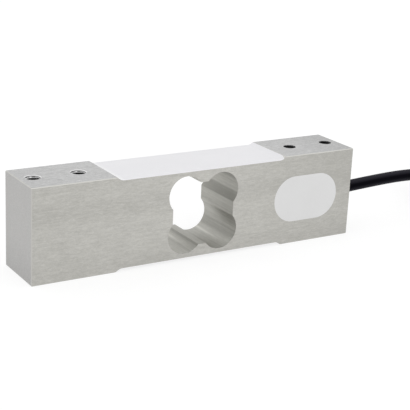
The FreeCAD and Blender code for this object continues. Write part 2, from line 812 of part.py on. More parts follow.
def cable_end():
    """The cable's end in the beam: jacket in the bore, seal, shrink sleeve and gathered shield."""
    inner_end = f"({END} - sizes.entry_reach)"
    jacket = doc.addObject("Part::Cylinder", "jacket")
    jacket.setExpression("Radius", "sizes.cable_diameter / 2")
    jacket.setExpression("Height", "sizes.entry_reach")
    shield = doc.addObject("Part::Cylinder", "shield")
    shield.setExpression("Radius", "sizes.shield_diameter / 2")
    shield.setExpression("Height", "sizes.shield_length")
    for cylinder, start in ((jacket, inner_end), (shield, f"{inner_end} - sizes.shield_length")):
        cylinder.Placement = Placement(Vector(), Rotation(Vector(0, 1, 0), 90))
        cylinder.setExpression("Placement.Base.x", start)
        cylinder.setExpression("Placement.Base.y", CABLE_Y)
        cylinder.setExpression("Placement.Base.z", "sizes.cable_level")
    keep(jacket, "cable_entry")
    keep(shield, "shield_braid")
    inner = "sizes.cable_diameter / 2"
    start = f"{END} - sizes.seal_depth"
    seal = ring("cable_seal", start, "sizes.seal_depth", inner, "sizes.seal_diameter / 2")
    outer = f"{inner} + sizes.sleeve_wall"
    sleeve = ring("shrink_sleeve", inner_end, "sizes.sleeve_grip", inner, outer)
    return [jacket, shield, sleeve], seal


def cores():
    """Four insulated cores, from the shield's end to the board's pads: straight out of the jacket, fanned
    out to their pads' heights and bent down to the joints."""
    start_x = size(f"{END} - sizes.entry_reach - sizes.shield_length")
    y = size(CABLE_Y)
    z = size("sizes.cable_level")
    spread = size("sizes.core_spread")
    core = size("sizes.core_diameter")
    pad_x = size(CORE_PAD_X)
    face = size(f"{BOARD_FACE} - sizes.copper_thickness")
    levels = core_pad_levels()
    made = []
    offsets = ((-1, -1), (1, -1), (1, 1), (-1, 1))
    pads = (levels[0], levels[1], levels[3], levels[4])
    for colour, (out, up), pad_z in zip(CORE_COLOURS, offsets, pads):
        route = [
            (start_x, y + out * spread, z + up * spread),
            (start_x - 1.4 * core, y + out * spread, z + up * spread),
            (start_x - 3.6 * core, y + out * spread / 2, (z + 2 * pad_z) / 3),
            (pad_x + 1.6 * core, face - core, pad_z),
            (pad_x, face - 0.55 * core, pad_z),
        ]
        made.append(feature_of(f"core_{colour}", tube(route, core)))
    return made


def potting(tools):
    """White fill of the pocket, level with the front face and cast round all that lies in it."""
    body = new_body("potting")
    outline = sketch_on(body, "XZ_Plane", f"-{FRONT}")
    draw_obround(outline, POCKET_LEFT, POCKET_RIGHT, "sizes.pocket_level", POCKET_RADIUS)
    pad(body, outline, "sizes.pocket_depth", reverse=True)
    return cut_round("pocket_potting", body, tools)


def hank():
    """Outer shape of the folded cable: a racetrack wall as high as its layers, on its two ties."""
    body = new_body("hank")
    thick = "sizes.cable_diameter"
    for inset, make in (("0", pad), (thick, pocket)):
        sketch = sketch_on(body, "XY_Plane", "sizes.tie_thickness")
        right = f"(sizes.hank_start + sizes.hank_run + sizes.hank_fold + {thick})"
        outer = f"((sizes.hank_fold + {thick}) / 2)"
        draw_obround(
            sketch,
            f"(sizes.hank_start + {inset})",
            f"({right} - {inset})",
            "sizes.hank_middle",
            f"({outer} - {inset})",
        )
        if make is pad:
            pad(body, sketch, f"sizes.hank_layers * {thick}")
        else:
            pocket(body, sketch, reverse=True)
    return keep(body, "cable_hank")


def hank_ties():
    """Two strap loops, one round the strands on each long side of the hank."""
    outer_spans = (
        "sizes.tie_width",
        "sizes.cable_diameter + 2 * sizes.tie_thickness",
        "sizes.hank_layers * sizes.cable_diameter + 2 * sizes.tie_thickness",
    )
    inner_spans = (
        "sizes.tie_width",
        "sizes.cable_diameter",
        "sizes.hank_layers * sizes.cable_diameter",
    )
    middle = "(sizes.hank_start + (sizes.hank_run + sizes.hank_fold + sizes.cable_diameter) / 2)"
    loops = []
    for sign in ("-", "+"):
        strand = f"(sizes.hank_middle {sign} sizes.hank_fold / 2)"
        pair = []
        for spans, low in ((outer_spans, "0"), (inner_spans, "sizes.tie_thickness")):
            box = doc.addObject("Part::Box", "tie_block")
            for side, span in zip(("Length", "Width", "Height"), spans):
                box.setExpression(side, span)
            box.setExpression("Placement.Base.x", f"{middle} - sizes.tie_width / 2")
            box.setExpression("Placement.Base.y", f"{strand} - ({spans[1]}) / 2")
            box.setExpression("Placement.Base.z", low)
            pair.append(box)
        loop = doc.addObject("Part::Cut", "tie_loop")
        loop.Base, loop.Tool = pair
        loops.append(loop)
    group = doc.addObject("Part::Compound", "ties")
    group.Links = loops
    return keep(group, "hank_ties")


def outside(solid, walls):
    """What is left of a solid outside some walls."""
    for wall in walls:
        solid = solid.cut(wall.Shape)
    return solid


def free_cable(walls):
    """The visible stretch of the cable, up to where it enters the hank."""
    solid = outside(tube(CABLE_ROUTE, size("sizes.cable_diameter")), walls)
    return feature_of("cable_free", max(solid.Solids, key=lambda piece: piece.Volume))


def free_leads(hank_body):
    """Stripped leads from the jacket's end under the hank's upper layers, fanned out on the surface
    inside the loop, with tinned tips. The shield's drain wire curves in most, the black lead least."""
    end = Vector(
        size("sizes.jacket_end"),
        size("sizes.hank_middle + sizes.hank_fold / 2"),
        size("sizes.tie_thickness + sizes.cable_diameter / 2"),
    )
    tip_radius = size("sizes.tip_diameter / 2")
    tip_length = size("sizes.tip_length")
    tips = []
    for colour, (offset, fan) in LEAD_FANS.items():
        thick = size("sizes.drain_diameter" if colour == "shield" else "sizes.lead_diameter")
        route = [end + Vector(0, *offset)] + [Vector(*point) for point in fan]
        feature_of(f"lead_{colour}", outside(tube(route, thick), [hank_body]))
        along = (route[-1] - route[-2]).normalize()
        tips.append(Part.makeCylinder(tip_radius, tip_length, route[-1], along))
    feature_of("lead_tips", Part.makeCompound(tips))


def check(document):
    """Stops if an object failed or a sub-part has no sound shape."""
    for item in document.Objects:
        if {"Invalid", "Error"} & set(item.State):
            raise RuntimeError(f"{item.Name} is {item.State}")
    for node in nodes:
        if node.Shape.isNull() or not node.Shape.isValid() or not node.Shape.Solids:
            raise RuntimeError(f"{node.Label} has no sound shape")


beam_piece = beam()
sealed = {}
for side in SIDES:
    sealed[side] = [gauge_film(side, end) for end in GAUGES]
    sealed[side] += [gauge_grid(side, end) for end in GAUGES]
    sealed[side] += [terminal_strip(side), gauge_jumpers(side), gauge_leads(side)]
gauge_cover("top", "sizes.cover_top_drop", "0", sealed["top"])
gauge_cover("bottom", "sizes.cover_bottom_drop", "sizes.cover_bottom_margin", sealed["bottom"])
board_pieces = board()
entry_pieces, seal = cable_end()
core_pieces = cores()
lead_pieces = [sealed[side][-1] for side in SIDES]
joints = solder_joints(core_pieces + lead_pieces)
potting(board_pieces + entry_pieces + core_pieces + lead_pieces + [joints])
hank_piece = hank()
hank_ties()
free_cable([entry_pieces[0], seal, beam_piece, hank_piece])
free_leads(hank_piece)

doc.recompute()
check(doc)
os.makedirs("parts", exist_ok=True)
for node in nodes:
    node.Shape.exportStep(os.path.join("parts", node.Label + ".step"))
    print(node.Label, len(node.Shape.Solids), round(node.Shape.Volume, 3))
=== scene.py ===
"""Looks of a single point load cell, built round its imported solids. Lengths are in millimetres."""
from __future__ import annotations

import json
import logging
import math
from dataclasses import dataclass
from enum import Enum

import bmesh
import bpy
import numpy as np
from mathutils import Matrix, Vector

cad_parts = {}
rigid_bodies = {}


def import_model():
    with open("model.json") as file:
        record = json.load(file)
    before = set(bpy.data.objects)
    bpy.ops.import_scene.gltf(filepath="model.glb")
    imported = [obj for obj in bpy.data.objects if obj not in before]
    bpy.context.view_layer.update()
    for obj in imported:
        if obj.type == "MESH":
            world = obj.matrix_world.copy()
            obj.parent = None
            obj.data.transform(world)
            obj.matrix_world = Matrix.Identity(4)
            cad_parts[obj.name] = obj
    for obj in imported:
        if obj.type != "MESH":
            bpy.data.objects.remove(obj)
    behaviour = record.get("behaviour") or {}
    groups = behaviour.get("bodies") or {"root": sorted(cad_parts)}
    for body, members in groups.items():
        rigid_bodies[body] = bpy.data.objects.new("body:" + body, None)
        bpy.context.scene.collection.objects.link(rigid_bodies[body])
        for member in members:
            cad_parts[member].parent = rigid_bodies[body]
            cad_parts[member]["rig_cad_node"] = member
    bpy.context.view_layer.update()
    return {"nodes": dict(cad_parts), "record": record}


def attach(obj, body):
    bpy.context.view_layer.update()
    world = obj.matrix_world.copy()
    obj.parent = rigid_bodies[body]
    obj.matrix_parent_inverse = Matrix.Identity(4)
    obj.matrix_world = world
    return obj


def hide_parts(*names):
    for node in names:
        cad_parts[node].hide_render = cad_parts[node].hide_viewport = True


MM = 0.001
Triple = tuple[float, float, float]
Span = tuple[float, float]
Piece = bpy.types.Object
LOG = logging.getLogger("load_cell")


# Shader helpers

@dataclass(frozen=True)
class Signal:
    """A shader socket that takes part in Python arithmetic, and the recipe that it belongs to."""

    recipe: Recipe
    socket: bpy.types.NodeSocket

    def __add__(self, other: Signal | float) -> Signal:
        """Sum."""
        return self.recipe.math("ADD", self, other)

    def __sub__(self, other: Signal | float) -> Signal:
        """Difference."""
        return self.recipe.math("SUBTRACT", self, other)

    def __rsub__(self, other: float) -> Signal:
        """Difference from a number."""
        return self.recipe.math("SUBTRACT", other, self)

    def __mul__(self, other: Signal | float) -> Signal:
        """Product."""
        return self.recipe.math("MULTIPLY", self, other)

    __radd__ = __add__
    __rmul__ = __mul__

    def __abs__(self) -> Signal:
        """Size without sign."""
        return self.recipe.math("ABSOLUTE", self)

    def __gt__(self, other: float) -> Signal:
        """One where the signal is above a number, else zero."""
        return self.recipe.math("GREATER_THAN", self, other)

    def __lt__(self, other: float) -> Signal:
        """One where the signal is below a number, else zero."""
        return self.recipe.math("LESS_THAN", self, other)

    def between(self, low: float, high: float) -> Signal:
        """Smooth step from zero at low to one at high."""
        settings = {"interpolation_type": "SMOOTHSTEP"}
        return self.recipe.node("ShaderNodeMapRange", settings, {0: self, 1: low, 2: high, 3: 0.0, 4: 1.0})


Parts = tuple[Signal, Signal, Signal]


class Recipe:
    """The nodes of a material, or of the world, under construction."""

    def __init__(self, owner: bpy.types.Material | bpy.types.World) -> None:
        """Empties the owner's node tree.

        Args:
            owner: The material or the world.
        """
        self.owner = owner
        owner.use_nodes = True
        self.tree = owner.node_tree
        self.tree.nodes.clear()

    @classmethod
    def named(cls, name: str) -> Recipe:
        """Recipe of a new material."""
        return cls(bpy.data.materials.new(name))

    def node(
        self, kind: str, settings: dict | None = None, sockets: dict | None = None, output: int = 0
    ) -> Signal:
        """Adds a node.

        Args:
            kind: The node's type.
            settings: Its own settings, set first. "stops" are a ramp's (place, grey) pairs.
            sockets: Values or signals of its inputs, by name or number.
            output: Number of the output to hand back.

        Returns:
            The chosen output as a signal.
        """
        made = self.tree.nodes.new(kind)
        for name, value in (settings or {}).items():
            if name == "stops":
                ramp = made.color_ramp.elements
                while len(ramp) < len(value):
                    ramp.new(0.5)
                for element, (place, grey) in zip(ramp, value):
                    element.position = place
                    element.color = (grey, grey, grey, 1)
            else:
                setattr(made, name, value)
        for key, value in (sockets or {}).items():
            if isinstance(value, Signal):
                self.tree.links.new(value.socket, made.inputs[key])
            else:
                made.inputs[key].default_value = value
        return Signal(self, made.outputs[output])

    def math(self, operation: str, *terms: Signal | float) -> Signal:
        """Adds a Math node on one or two terms."""
        return self.node("ShaderNodeMath", {"operation": operation}, dict(enumerate(terms)))

    def reach(self, across: Signal, along: Signal) -> Signal:
        """Distance from the zero point of two parts."""
        return self.math("SQRT", across * across + along * along)

    def place(self, stretch: Triple = (1, 1, 1), turn: Triple = (0, 0, 0)) -> Signal:
        """Object coordinates in millimetres, stretched and turned.

        Args:
            stretch: Factors along the three axes.
            turn: Angles about them in radians.

        Returns:
            The changed coordinates.
        """
        here = self.node("ShaderNodeTexCoord", output=3)
        scale = tuple(value / MM for value in stretch)
        return self.node("ShaderNodeMapping", {}, {"Vector": here, "Rotation": turn, "Scale": scale})

    def facing(self) -> Parts:
        """The three parts of the surface normal."""
        return self.split(self.node("ShaderNodeTexCoord", output=1))

    def along(self) -> Signal:
        """The piece's own UV map."""
        return self.node("ShaderNodeUVMap", {"uv_map": "UVMap"})

    def split(self, vector: Signal) -> Parts:
        """The three parts of a vector."""
        first = self.node("ShaderNodeSeparateXYZ", {}, {0: vector})
        return tuple(Signal(self, output) for output in first.socket.node.outputs)

    def noise(
        self, vector: Signal, scale: float, detail: float = 3, rough: float = 0.5, warp: float = 0
    ) -> Signal:
        """Fractal noise about 0.5."""
        sockets = {"Vector": vector, "Scale": scale, "Detail": detail, "Roughness": rough, "Distortion": warp}
        return self.node("ShaderNodeTexNoise", {}, sockets)

    def blend(self, low: Triple | Signal, high: Triple | Signal, mask: Signal | float) -> Signal:
        """Colour between two others."""
        low, high = ((*c, 1) if isinstance(c, tuple) else c for c in (low, high))
        return self.node("ShaderNodeMix", {"data_type": "RGBA"}, {0: mask, 6: low, 7: high}, output=2)

    def bump(self, height: Signal, depth: float) -> Signal:
        """Normal from a height signal and its full depth."""
        return self.node("ShaderNodeBump", {}, {"Height": height, "Distance": depth * MM, "Strength": 1})

    def finish(self, **sockets: object) -> bpy.types.Material:
        """Closes the material with a Principled shader.

        Args:
            sockets: Values or signals by the shader's input names, with underscores for spaces.

        Returns:
            The finished material.
        """
        named = {name.replace("_", " "): value for name, value in sockets.items()}
        self.close(self.node("ShaderNodeBsdfPrincipled", {}, named))
        return self.owner

    def close(self, shader: Signal) -> None:
        """Links a shader to the surface output of the owner's kind, Material or World."""
        output = self.tree.nodes.new(f"ShaderNodeOutput{type(self.owner).__name__}")
        self.tree.links.new(shader.socket, output.inputs["Surface"])


@dataclass(frozen=True)
class Noise:
    """A layer of fractal noise on object coordinates, and its weight where layers are added."""

    stretch: Triple = (1, 1, 1)
    scale: float = 1.0
    detail: float = 3
    rough: float = 0.5
    warp: float = 0
    turn: Triple = (0, 0, 0)
    weight: float = 1.0

    def on(self, r: Recipe) -> Signal:
        """The layer in a material, about 0.5."""
        return r.noise(r.place(self.stretch, self.turn), self.scale, self.detail, self.rough, self.warp)

    def weigh(self, laid: Signal) -> Signal:
        """The laid noise less its middle, times the weight."""
        return (laid - 0.5) * self.weight


# Finishes

@dataclass(frozen=True)
class MilledAluminium:
    """Bright aluminium: brushed along its length outside, cut across by a milling cutter in the opening.

    A face's colour lies between its dark and its tone, and the tones of the sides, pads and end faces differ
    partly by their finish and partly as painted light and shade. Shades are painted shade: shares of the way
    from one to the other that pull it down; lifts are painted light and pull it up. A shade grows from none
    to all between the two places of its span, which lie along an axis, or are angles in degrees about the
    axis of the nearest lobe of the opening.
    """

    # Tones of the sides, pads and end faces: partly their finish, partly painted light and shade by the way
    # each face turns.
    side_tone: Triple = (0.572, 0.564, 0.532)
    side_dark: Triple = (0.407, 0.401, 0.375)
    pad_tone: Triple = (0.618, 0.618, 0.615)
    pad_dark: Triple = (0.300, 0.300, 0.299)
    end_tone: Triple = (0.513, 0.507, 0.497)
    end_dark: Triple = (0.365, 0.361, 0.353)
    cut_tone: Triple = (0.72, 0.714, 0.672)
    cut_dark: Triple = (0.40, 0.395, 0.367)
    # Painted light on the softened edges: a lighter tone, a painted highlight where they face up to the
    # front, painted shade where they face back or towards +X.
    bright_edge: Triple = (0.66, 0.655, 0.62)
    upright_edge: Triple = (0.52, 0.515, 0.49)
    dull_edge: Triple = (0.33, 0.326, 0.31)
    # Painted shade deep in the cable end's holes.
    oily_thread: Triple = (0.055, 0.055, 0.057)
    roughness: float = 0.36
    grain_roughness: float = 0.08
    cut_roughness: float = 0.24
    cut_metallic_loss: float = 0.2
    grain_depth: float = 0.02
    flat_span: Span = (0.8, 0.95)
    edge_lean: float = 0.3
    dashes: Noise = Noise((0.44, 1.3, 2.0), 1.0, 5, 0.7, 0.3, (0, 0.03, 0), weight=1.7)
    specks: Noise = Noise((0.9, 1.6, 1.8), 2.0, 3, 0.7, weight=1.2)
    streaks: Noise = Noise((0.10, 0.9, 1.3), turn=(0, 0.05, 0), weight=0.4)
    clouds: Noise = Noise((0.10, 0.3, 0.34), 1.0, 3, 0.6, 0.8, (0, 0.12, 0), weight=0.4)
    # Painted shade across the end faces, pads and sides; lifts are painted light.
    end_low_span: Span = (18.0, 0.0)
    end_low_shade: float = 0.26
    end_back_span: Span = (0.0, 12.0)
    end_back_shade: float = 0.05
    pad_lift: float = 0.06
    pad_end_span: Span = (50.0, 76.0)
    pad_end_shade: float = 0.12
    pad_cable_span: Span = (52.0, 61.0)
    pad_cable_shade: float = 0.06
    side_cable_span: Span = (5.0, 76.0)
    side_cable_shade: float = 0.08
    side_cable_rise: float = 0.30
    side_load_span: Span = (10.0, -50.0)
    side_load_lift: float = 0.09
    side_load_rise: float = 0.21
    side_corner_span: Span = (-40.0, -76.0)
    side_corner_shade: float = 0.10
    side_low_span: Span = (13.0, 1.0)
    side_low_shade: float = 0.21
    band_level: float = 27.0
    band_span: Span = (6.0, 1.0)
    band_shade: float = 0.15
    half_opening: float = 17.3
    opening_low: float = 3.0
    opening_high: float = 36.2
    half_width: float = 12.62
    height: float = 39.0
    lobe_radius: float = 8.0
    lobe_offset: float = 8.2
    lobe_level: float = 11.1
    lobe_margin: float = 0.12
    tool_bands: Noise = Noise((1.0, 0.010, 1.0), 0.42, 3, 0.6, weight=0.7)
    tool_lines: Noise = Noise((1.0, 0.02, 1.0), 2.4, 3, 0.6, weight=0.5)
    scratches: Noise = Noise((1.0, 0.3, 1.0), 1.2, 4, 0.6, turn=(0.5, 0, 0.4), weight=0.4)
    band_height: float = 2.0
    cut_lift: float = 0.44
    # Painted light and shade of the opening: an even painted shade on the straight walls, painted shade and
    # light on the lobes' walls, and a painted highlight line.
    window_shade: float = 0.08
    pass_end: float = -59.0
    pass_width: Span = (6.0, 0.5)
    pass_span: Span = (-11.0, 8.0)
    pass_lift: float = 0.42
    upper_lift: float = 0.06
    upper_left_lift: float = 0.7
    upper_bands: tuple[Triple, ...] = ((22.0, 30.0, 0.20), (-9.0, -14.0, 0.55))
    low_right_bands: tuple[Triple, ...] = ((-62.0, -70.0, 0.15),)
    flank_upper: Span = (-10.0, -14.0)
    flank_lower: Span = (-52.0, -30.0)
    flank_shade: float = 0.35
    cusp_span: Span = (-8.0, 10.0)
    cusp_front_span: Span = (5.0, -7.0)
    cusp_front_shade: float = 0.35
    cusp_lift: float = 0.15
    low_left_shade: float = 0.08
    low_left_bands: tuple[Triple, ...] = ((-46.0, -40.0, 0.50), (-70.0, -105.0, -0.35))
    hole_middle: float = 59.5
    hole_half_step: float = 9.5
    hole_reach: float = 3.7
    hole_lean: float = 0.93
    pads_from: float = 40.0
    # Painted light by depth in the load end's holes: bright rings near the mouth, black painted shade deeper
    # in.
    ring_scale: float = 0.5
    ring_stops: tuple[Span, ...] = (
        (0.0, 0.6), (0.06, 0.95), (0.12, 0.5), (0.2, 0.03), (0.33, 1.0), (0.46, 0.8), (0.56, 0.016)
    )

    def build(self) -> bpy.types.Material:
        """Each kind of face has its own tone, partly painted light and shade, and its own grain, told apart
        by the normal and the place.

        Returns:
            The finished material.
        """
        r = Recipe.named("milled_aluminium")
        place = r.split(r.place())
        normal = r.facing()
        x, y, z = place
        high_enough = (z > self.opening_low) * (z < self.opening_high)
        inside = (abs(x) < self.half_opening) * high_enough * (abs(y) < self.half_width)
        side = abs(normal[1]).between(*self.flat_span)
        dashes = self.dashes.on(r)
        grain = self.grain(r, dashes, side)
        outside = self.outside(r, place, normal, side, grain + 0.5)
        cut, lines = self.cut(r, place)
        colour = self.hole(r, r.blend(outside, cut, inside), place, normal[2])
        return r.finish(
            Base_Color=colour,
            Metallic=1.0 - inside * self.cut_metallic_loss,
            Roughness=self.roughness + grain * self.grain_roughness + inside * self.cut_roughness,
            Normal=r.bump(dashes + (lines - dashes) * inside, self.grain_depth),
        )

    def grain(self, r: Recipe, dashes: Signal, side: Signal) -> Signal:
        """Brushed grain about zero: short dashes, specks and long streaks, and slow clouds on the sides.

        Args:
            r: The material's recipe.
            dashes: The noise that also gives the grain its height.
            side: One on the side faces, else zero.

        Returns:
            The weighted sum of the four noises, each less its middle.
        """
        clouds = self.clouds.weigh(self.clouds.on(r)) * side
        specks = self.specks.weigh(self.specks.on(r))
        streaks = self.streaks.weigh(self.streaks.on(r))
        return self.dashes.weigh(dashes) + specks + streaks + clouds

    def outside(self, r: Recipe, place: Parts, normal: Parts, side: Signal, grain: Signal) -> Signal:
        """Tone of the pads, the end faces, the sides and the softened edges between them.

        A kind of face is told by the size of the normal's part along its axis. What belongs to no axis is an
        edge with painted light: its tone depends on the way that it faces, with a painted highlight where it
        faces up and to the front and painted shade where it faces back or towards +X.

        Args:
            r: The material's recipe.
            place: Parts of the object coordinates in millimetres.
            normal: Parts of the surface normal.
            side: One on the side faces, else zero.
            grain: Share of the span between dark and tone, before the painted shades are taken off.

        Returns:
            The colour outside the opening and the holes.
        """
        end, top = (abs(normal[axis]).between(*self.flat_span) for axis in (0, 2))
        edge = 1.0 - r.math("MAXIMUM", r.math("MAXIMUM", side, end), top)
        # Each face's tone less its painted shade.
        pad = r.blend(self.pad_dark, self.pad_tone, grain - self.pad_shade(place))
        end_face = r.blend(self.end_dark, self.end_tone, grain - self.end_shade(place))
        side_face = r.blend(self.side_dark, self.side_tone, grain - self.side_shade(place))
        # Edges take a painted light tone, then painted shade where they face away and a painted highlight
        # where they face up to the front.
        colour = r.blend(r.blend(pad, self.upright_edge, edge), end_face, end)
        colour = r.blend(colour, side_face, side)
        away = r.math("MAXIMUM", normal[1] > self.edge_lean, normal[0] > self.edge_lean)
        colour = r.blend(colour, self.dull_edge, edge * away)
        lit = (normal[1] < -self.edge_lean) * (normal[2] > self.edge_lean)
        return r.blend(colour, self.bright_edge, edge * lit)

    def pad_shade(self, place: Parts) -> Signal:
        """Painted shade of the pads: darker towards both ends, and past the cable end's first holes."""
        ends = abs(place[0]).between(*self.pad_end_span) * self.pad_end_shade - self.pad_lift
        return ends + place[0].between(*self.pad_cable_span) * self.pad_cable_shade

    def end_shade(self, place: Parts) -> Signal:
        """Painted shade of the end faces: darker low down, and a little towards the back."""
        low = place[2].between(*self.end_low_span) * self.end_low_shade
        return low + place[1].between(*self.end_back_span) * self.end_back_shade

    def side_shade(self, place: Parts) -> Signal:
        """Painted shade of the sides: darker low down, in a band above the middle, and towards both ends
        higher up.

        Args:
            place: Parts of the object coordinates in millimetres.

        Returns:
            The sum of the five painted shades.
        """
        x, _, z = place
        rise = z * (1 / self.height)
        cable = x.between(*self.side_cable_span) * (rise * self.side_cable_rise + self.side_cable_shade)
        load = x.between(*self.side_load_span) * (rise * self.side_load_rise - self.side_load_lift)
        corner = x.between(*self.side_corner_span) * self.side_corner_shade
        low = z.between(*self.side_low_span) * self.side_low_shade
        band = abs(z - self.band_level).between(*self.band_span) * self.band_shade
        return cable + load + corner + low + band

    def bands(self, turn: Signal, parts: tuple[Triple, ...]) -> Signal:
        """Sum of painted shades, each given by the angles where it starts and where it is full, and its
        depth; a depth below zero is painted light.
        """
        return sum(turn.between(start, full) * depth for start, full, depth in parts)

    def cut(self, r: Recipe, place: Parts) -> tuple[Signal, Signal]:
        """Tone and height of the opening's walls, with fine tool lines along Y.

        The place is taken about the nearest lobe's axis, and its angle there tells the lobe's painted lighter
        and darker parts, which stand in for the light and shade between the walls, and a painted highlight
        line, which fades towards the front. The straight walls between the lobes have one even painted shade.

        Args:
            r: The material's recipe.
            place: Parts of the object coordinates in millimetres.

        Returns:
            The walls' colour, and the height of the tool lines.
        """
        x, y, z = place
        right, upper = x > 0.0, z > self.height / 2
        left, lower = 1.0 - right, 1.0 - upper
        across = x + self.lobe_offset - right * (2 * self.lobe_offset)
        rise = z - self.lobe_level - upper * (self.height - 2 * self.lobe_level)
        turn = r.math("DEGREES", r.math("ARCTAN2", rise, across))
        lobe = r.reach(across, rise) < self.lobe_radius + self.lobe_margin
        front = y.between(*self.cusp_front_span)
        cusp = turn.between(*self.cusp_span) * (front * self.cusp_front_shade - self.cusp_lift)
        flank = turn.between(*self.flank_upper) * turn.between(*self.flank_lower) * self.flank_shade
        # Painted shade on the lobes' walls by angle; lifts and negative depths are painted light.
        dark = upper * (self.bands(turn, self.upper_bands) - self.upper_lift - left * self.upper_left_lift)
        dark = dark + right * lower * (self.bands(turn, self.low_right_bands) + cusp + flank)
        dark = dark + left * lower * (self.bands(turn, self.low_left_bands) + self.low_left_shade)
        # A painted highlight line in the lower lobes, fading towards the front.
        near_painted_line = abs(turn - self.pass_end).between(*self.pass_width)
        painted_highlight_line = near_painted_line * lower * y.between(*self.pass_span) * self.pass_lift
        bands, lines, scratches = (
            layer.on(r) for layer in (self.tool_bands, self.tool_lines, self.scratches)
        )
        marks = self.tool_bands.weigh(bands) + self.tool_lines.weigh(lines) + self.scratches.weigh(scratches)
        shade = (painted_highlight_line - dark) * lobe - (1.0 - lobe) * self.window_shade
        colour = r.blend(self.cut_dark, self.cut_tone, marks + self.cut_lift + shade)
        return colour, bands * self.band_height + lines

    def hole(self, r: Recipe, colour: Signal, place: Parts, lean: Signal) -> Signal:
        """Painted light and shade in the tapped holes: at the load end bright rings near the mouth and
        painted shade deeper in, at the cable end painted shade throughout.

        X is folded at the beam's middle and again between the two holes of a pad, which leaves the distance
        from the nearest hole.

        Args:
            r: The material's recipe.
            colour: Colour of all the rest.
            place: Parts of the object coordinates in millimetres.
            lean: Upright part of the surface normal.

        Returns:
            The colour with the holes in it.
        """
        x, y, z = place
        across = abs(abs(abs(x) - self.hole_middle) - self.hole_half_step)
        depth = r.math("MINIMUM", z, self.height - z)
        near = (r.reach(across, y) < self.hole_reach) * (abs(x) > self.pads_from)
        # Painted highlights and painted shade by depth below the mouth; all painted shade at the cable end.
        ring = r.node("ShaderNodeValToRGB", {"stops": self.ring_stops}, {0: depth * self.ring_scale})
        wall = r.blend(ring, self.oily_thread, x > 0.0)
        return r.blend(colour, wall, near * (abs(lean) < self.hole_lean))


@dataclass(frozen=True)
class Moulded:
    """Plain plastic, rubber or lacquer: a tone that drifts slightly, with a fine skin."""

    name: str
    tone: Triple
    roughness: float = 0.45
    drift: float = 0.05
    grain: float = 1.6
    skin: float = 0.01
    specular: float = 0.5
    metallic: float = 0.0
    broad_share: float = 0.2
    fine_share: float = 3.0
    contrast: float = 1.4
    polish_swing: float = 0.12

    def build(self) -> bpy.types.Material:
        """Tone and roughness follow two scales of noise on the object.

        Returns:
            The finished material.
        """
        r = Recipe.named(self.name)
        broad = Noise(scale=self.grain * self.broad_share, weight=self.contrast)
        fine = Noise(scale=self.grain * self.fine_share, detail=4, rough=0.6, weight=self.polish_swing)
        skin = fine.on(r)
        low = tuple(value * (1 - self.drift) for value in self.tone)
        high = tuple(min(1.0, value * (1 + self.drift)) for value in self.tone)
        return r.finish(
            Base_Color=r.blend(low, high, broad.weigh(broad.on(r)) + 0.5),
            Metallic=self.metallic,
            Roughness=self.roughness + fine.weigh(skin),
            Specular_IOR_Level=self.specular,
            Normal=r.bump(skin, self.skin),
        )


@dataclass(frozen=True)
class PouredRubber:
    """White rubber that was poured and levelled itself: nearly even, with faint flow marks and specks."""

    tone: Triple = (0.868, 0.864, 0.886)
    shade: Triple = (0.816, 0.813, 0.838)
    # Painted highlight on the rubber's rising rim at the load end.
    rim: Triple = (0.93, 0.93, 0.94)
    rim_span: Span = (-35.9, -37.4)
    rim_share: float = 0.8
    flow: Noise = Noise((0.5, 1, 1), 0.12, 3, 0.5, 0.6, weight=0.14)
    flow_share: float = 0.6
    dust: Noise = Noise(scale=2.6, detail=2)
    dust_span: Span = (0.74, 0.8)
    dust_share: float = 0.4
    dust_roughness: float = 0.2
    dust_height: float = 0.1
    wave: Noise = Noise((0.6, 1, 1), 0.22, 2)
    wave_depth: float = 0.05
    roughness: float = 0.38
    specular: float = 0.4

    def build(self) -> bpy.types.Material:
        """A slow drift of tone, sparse darker specks, a thin paler painted highlight at the rim by the load
        end, and low waves.

        Returns:
            The finished material.
        """
        r = Recipe.named("poured_white_rubber")
        flow = self.flow.on(r)
        dust = self.dust.on(r).between(*self.dust_span)
        # Painted highlight at the load end's rim.
        rim = r.split(r.place())[0].between(*self.rim_span) * self.rim_share
        middle = r.blend(self.tone, self.shade, flow * self.flow_share + dust * self.dust_share)
        return r.finish(
            Base_Color=r.blend(middle, self.rim, rim),
            Roughness=self.roughness + self.flow.weigh(flow) + dust * self.dust_roughness,
            Specular_IOR_Level=self.specular,
            Normal=r.bump(self.wave.on(r) + dust * self.dust_height, self.wave_depth),
        )


@dataclass(frozen=True)
class CableJacket:
    """Extruded black jacket: faint draw lines along it, and a painted sheen above and, less, below."""

    tone: Triple = (0.0004, 0.0003, 0.0020)
    # Painted sheen: lighter colour on the upper side and, weaker, on the underside.
    bloom: Triple = (0.0250, 0.0240, 0.0312)
    above: Span = (0.36, 0.98)
    below: Span = (0.1, -0.8)
    below_share: float = 0.85
    lines: Triple = (22.0, 0.16, 1)
    line_swing: float = 0.7
    line_base: float = 0.6
    line_depth: float = 0.012
    roughness: float = 0.5
    roughness_swing: float = 0.12
    specular: float = 0.035

    def build(self) -> bpy.types.Material:
        """Draw lines follow the tube's own map, and the painted sheen follows the upright part of the normal.

        Returns:
            The finished material.
        """
        r = Recipe.named("black_cable_jacket")
        unrolled = r.node("ShaderNodeMapping", {}, {"Vector": r.along(), "Scale": self.lines})
        drawn = r.noise(unrolled, 1.0, 4, 0.6)
        rise = r.facing()[2]
        cover = rise.between(*self.above) + rise.between(*self.below) * self.below_share
        bloom = cover * (drawn * self.line_swing + self.line_base)
        return r.finish(
            Base_Color=r.blend(self.tone, self.bloom, bloom),
            Roughness=self.roughness + (drawn - 0.5) * self.roughness_swing,
            Specular_IOR_Level=self.specular,
            Normal=r.bump(drawn, self.line_depth),
        )


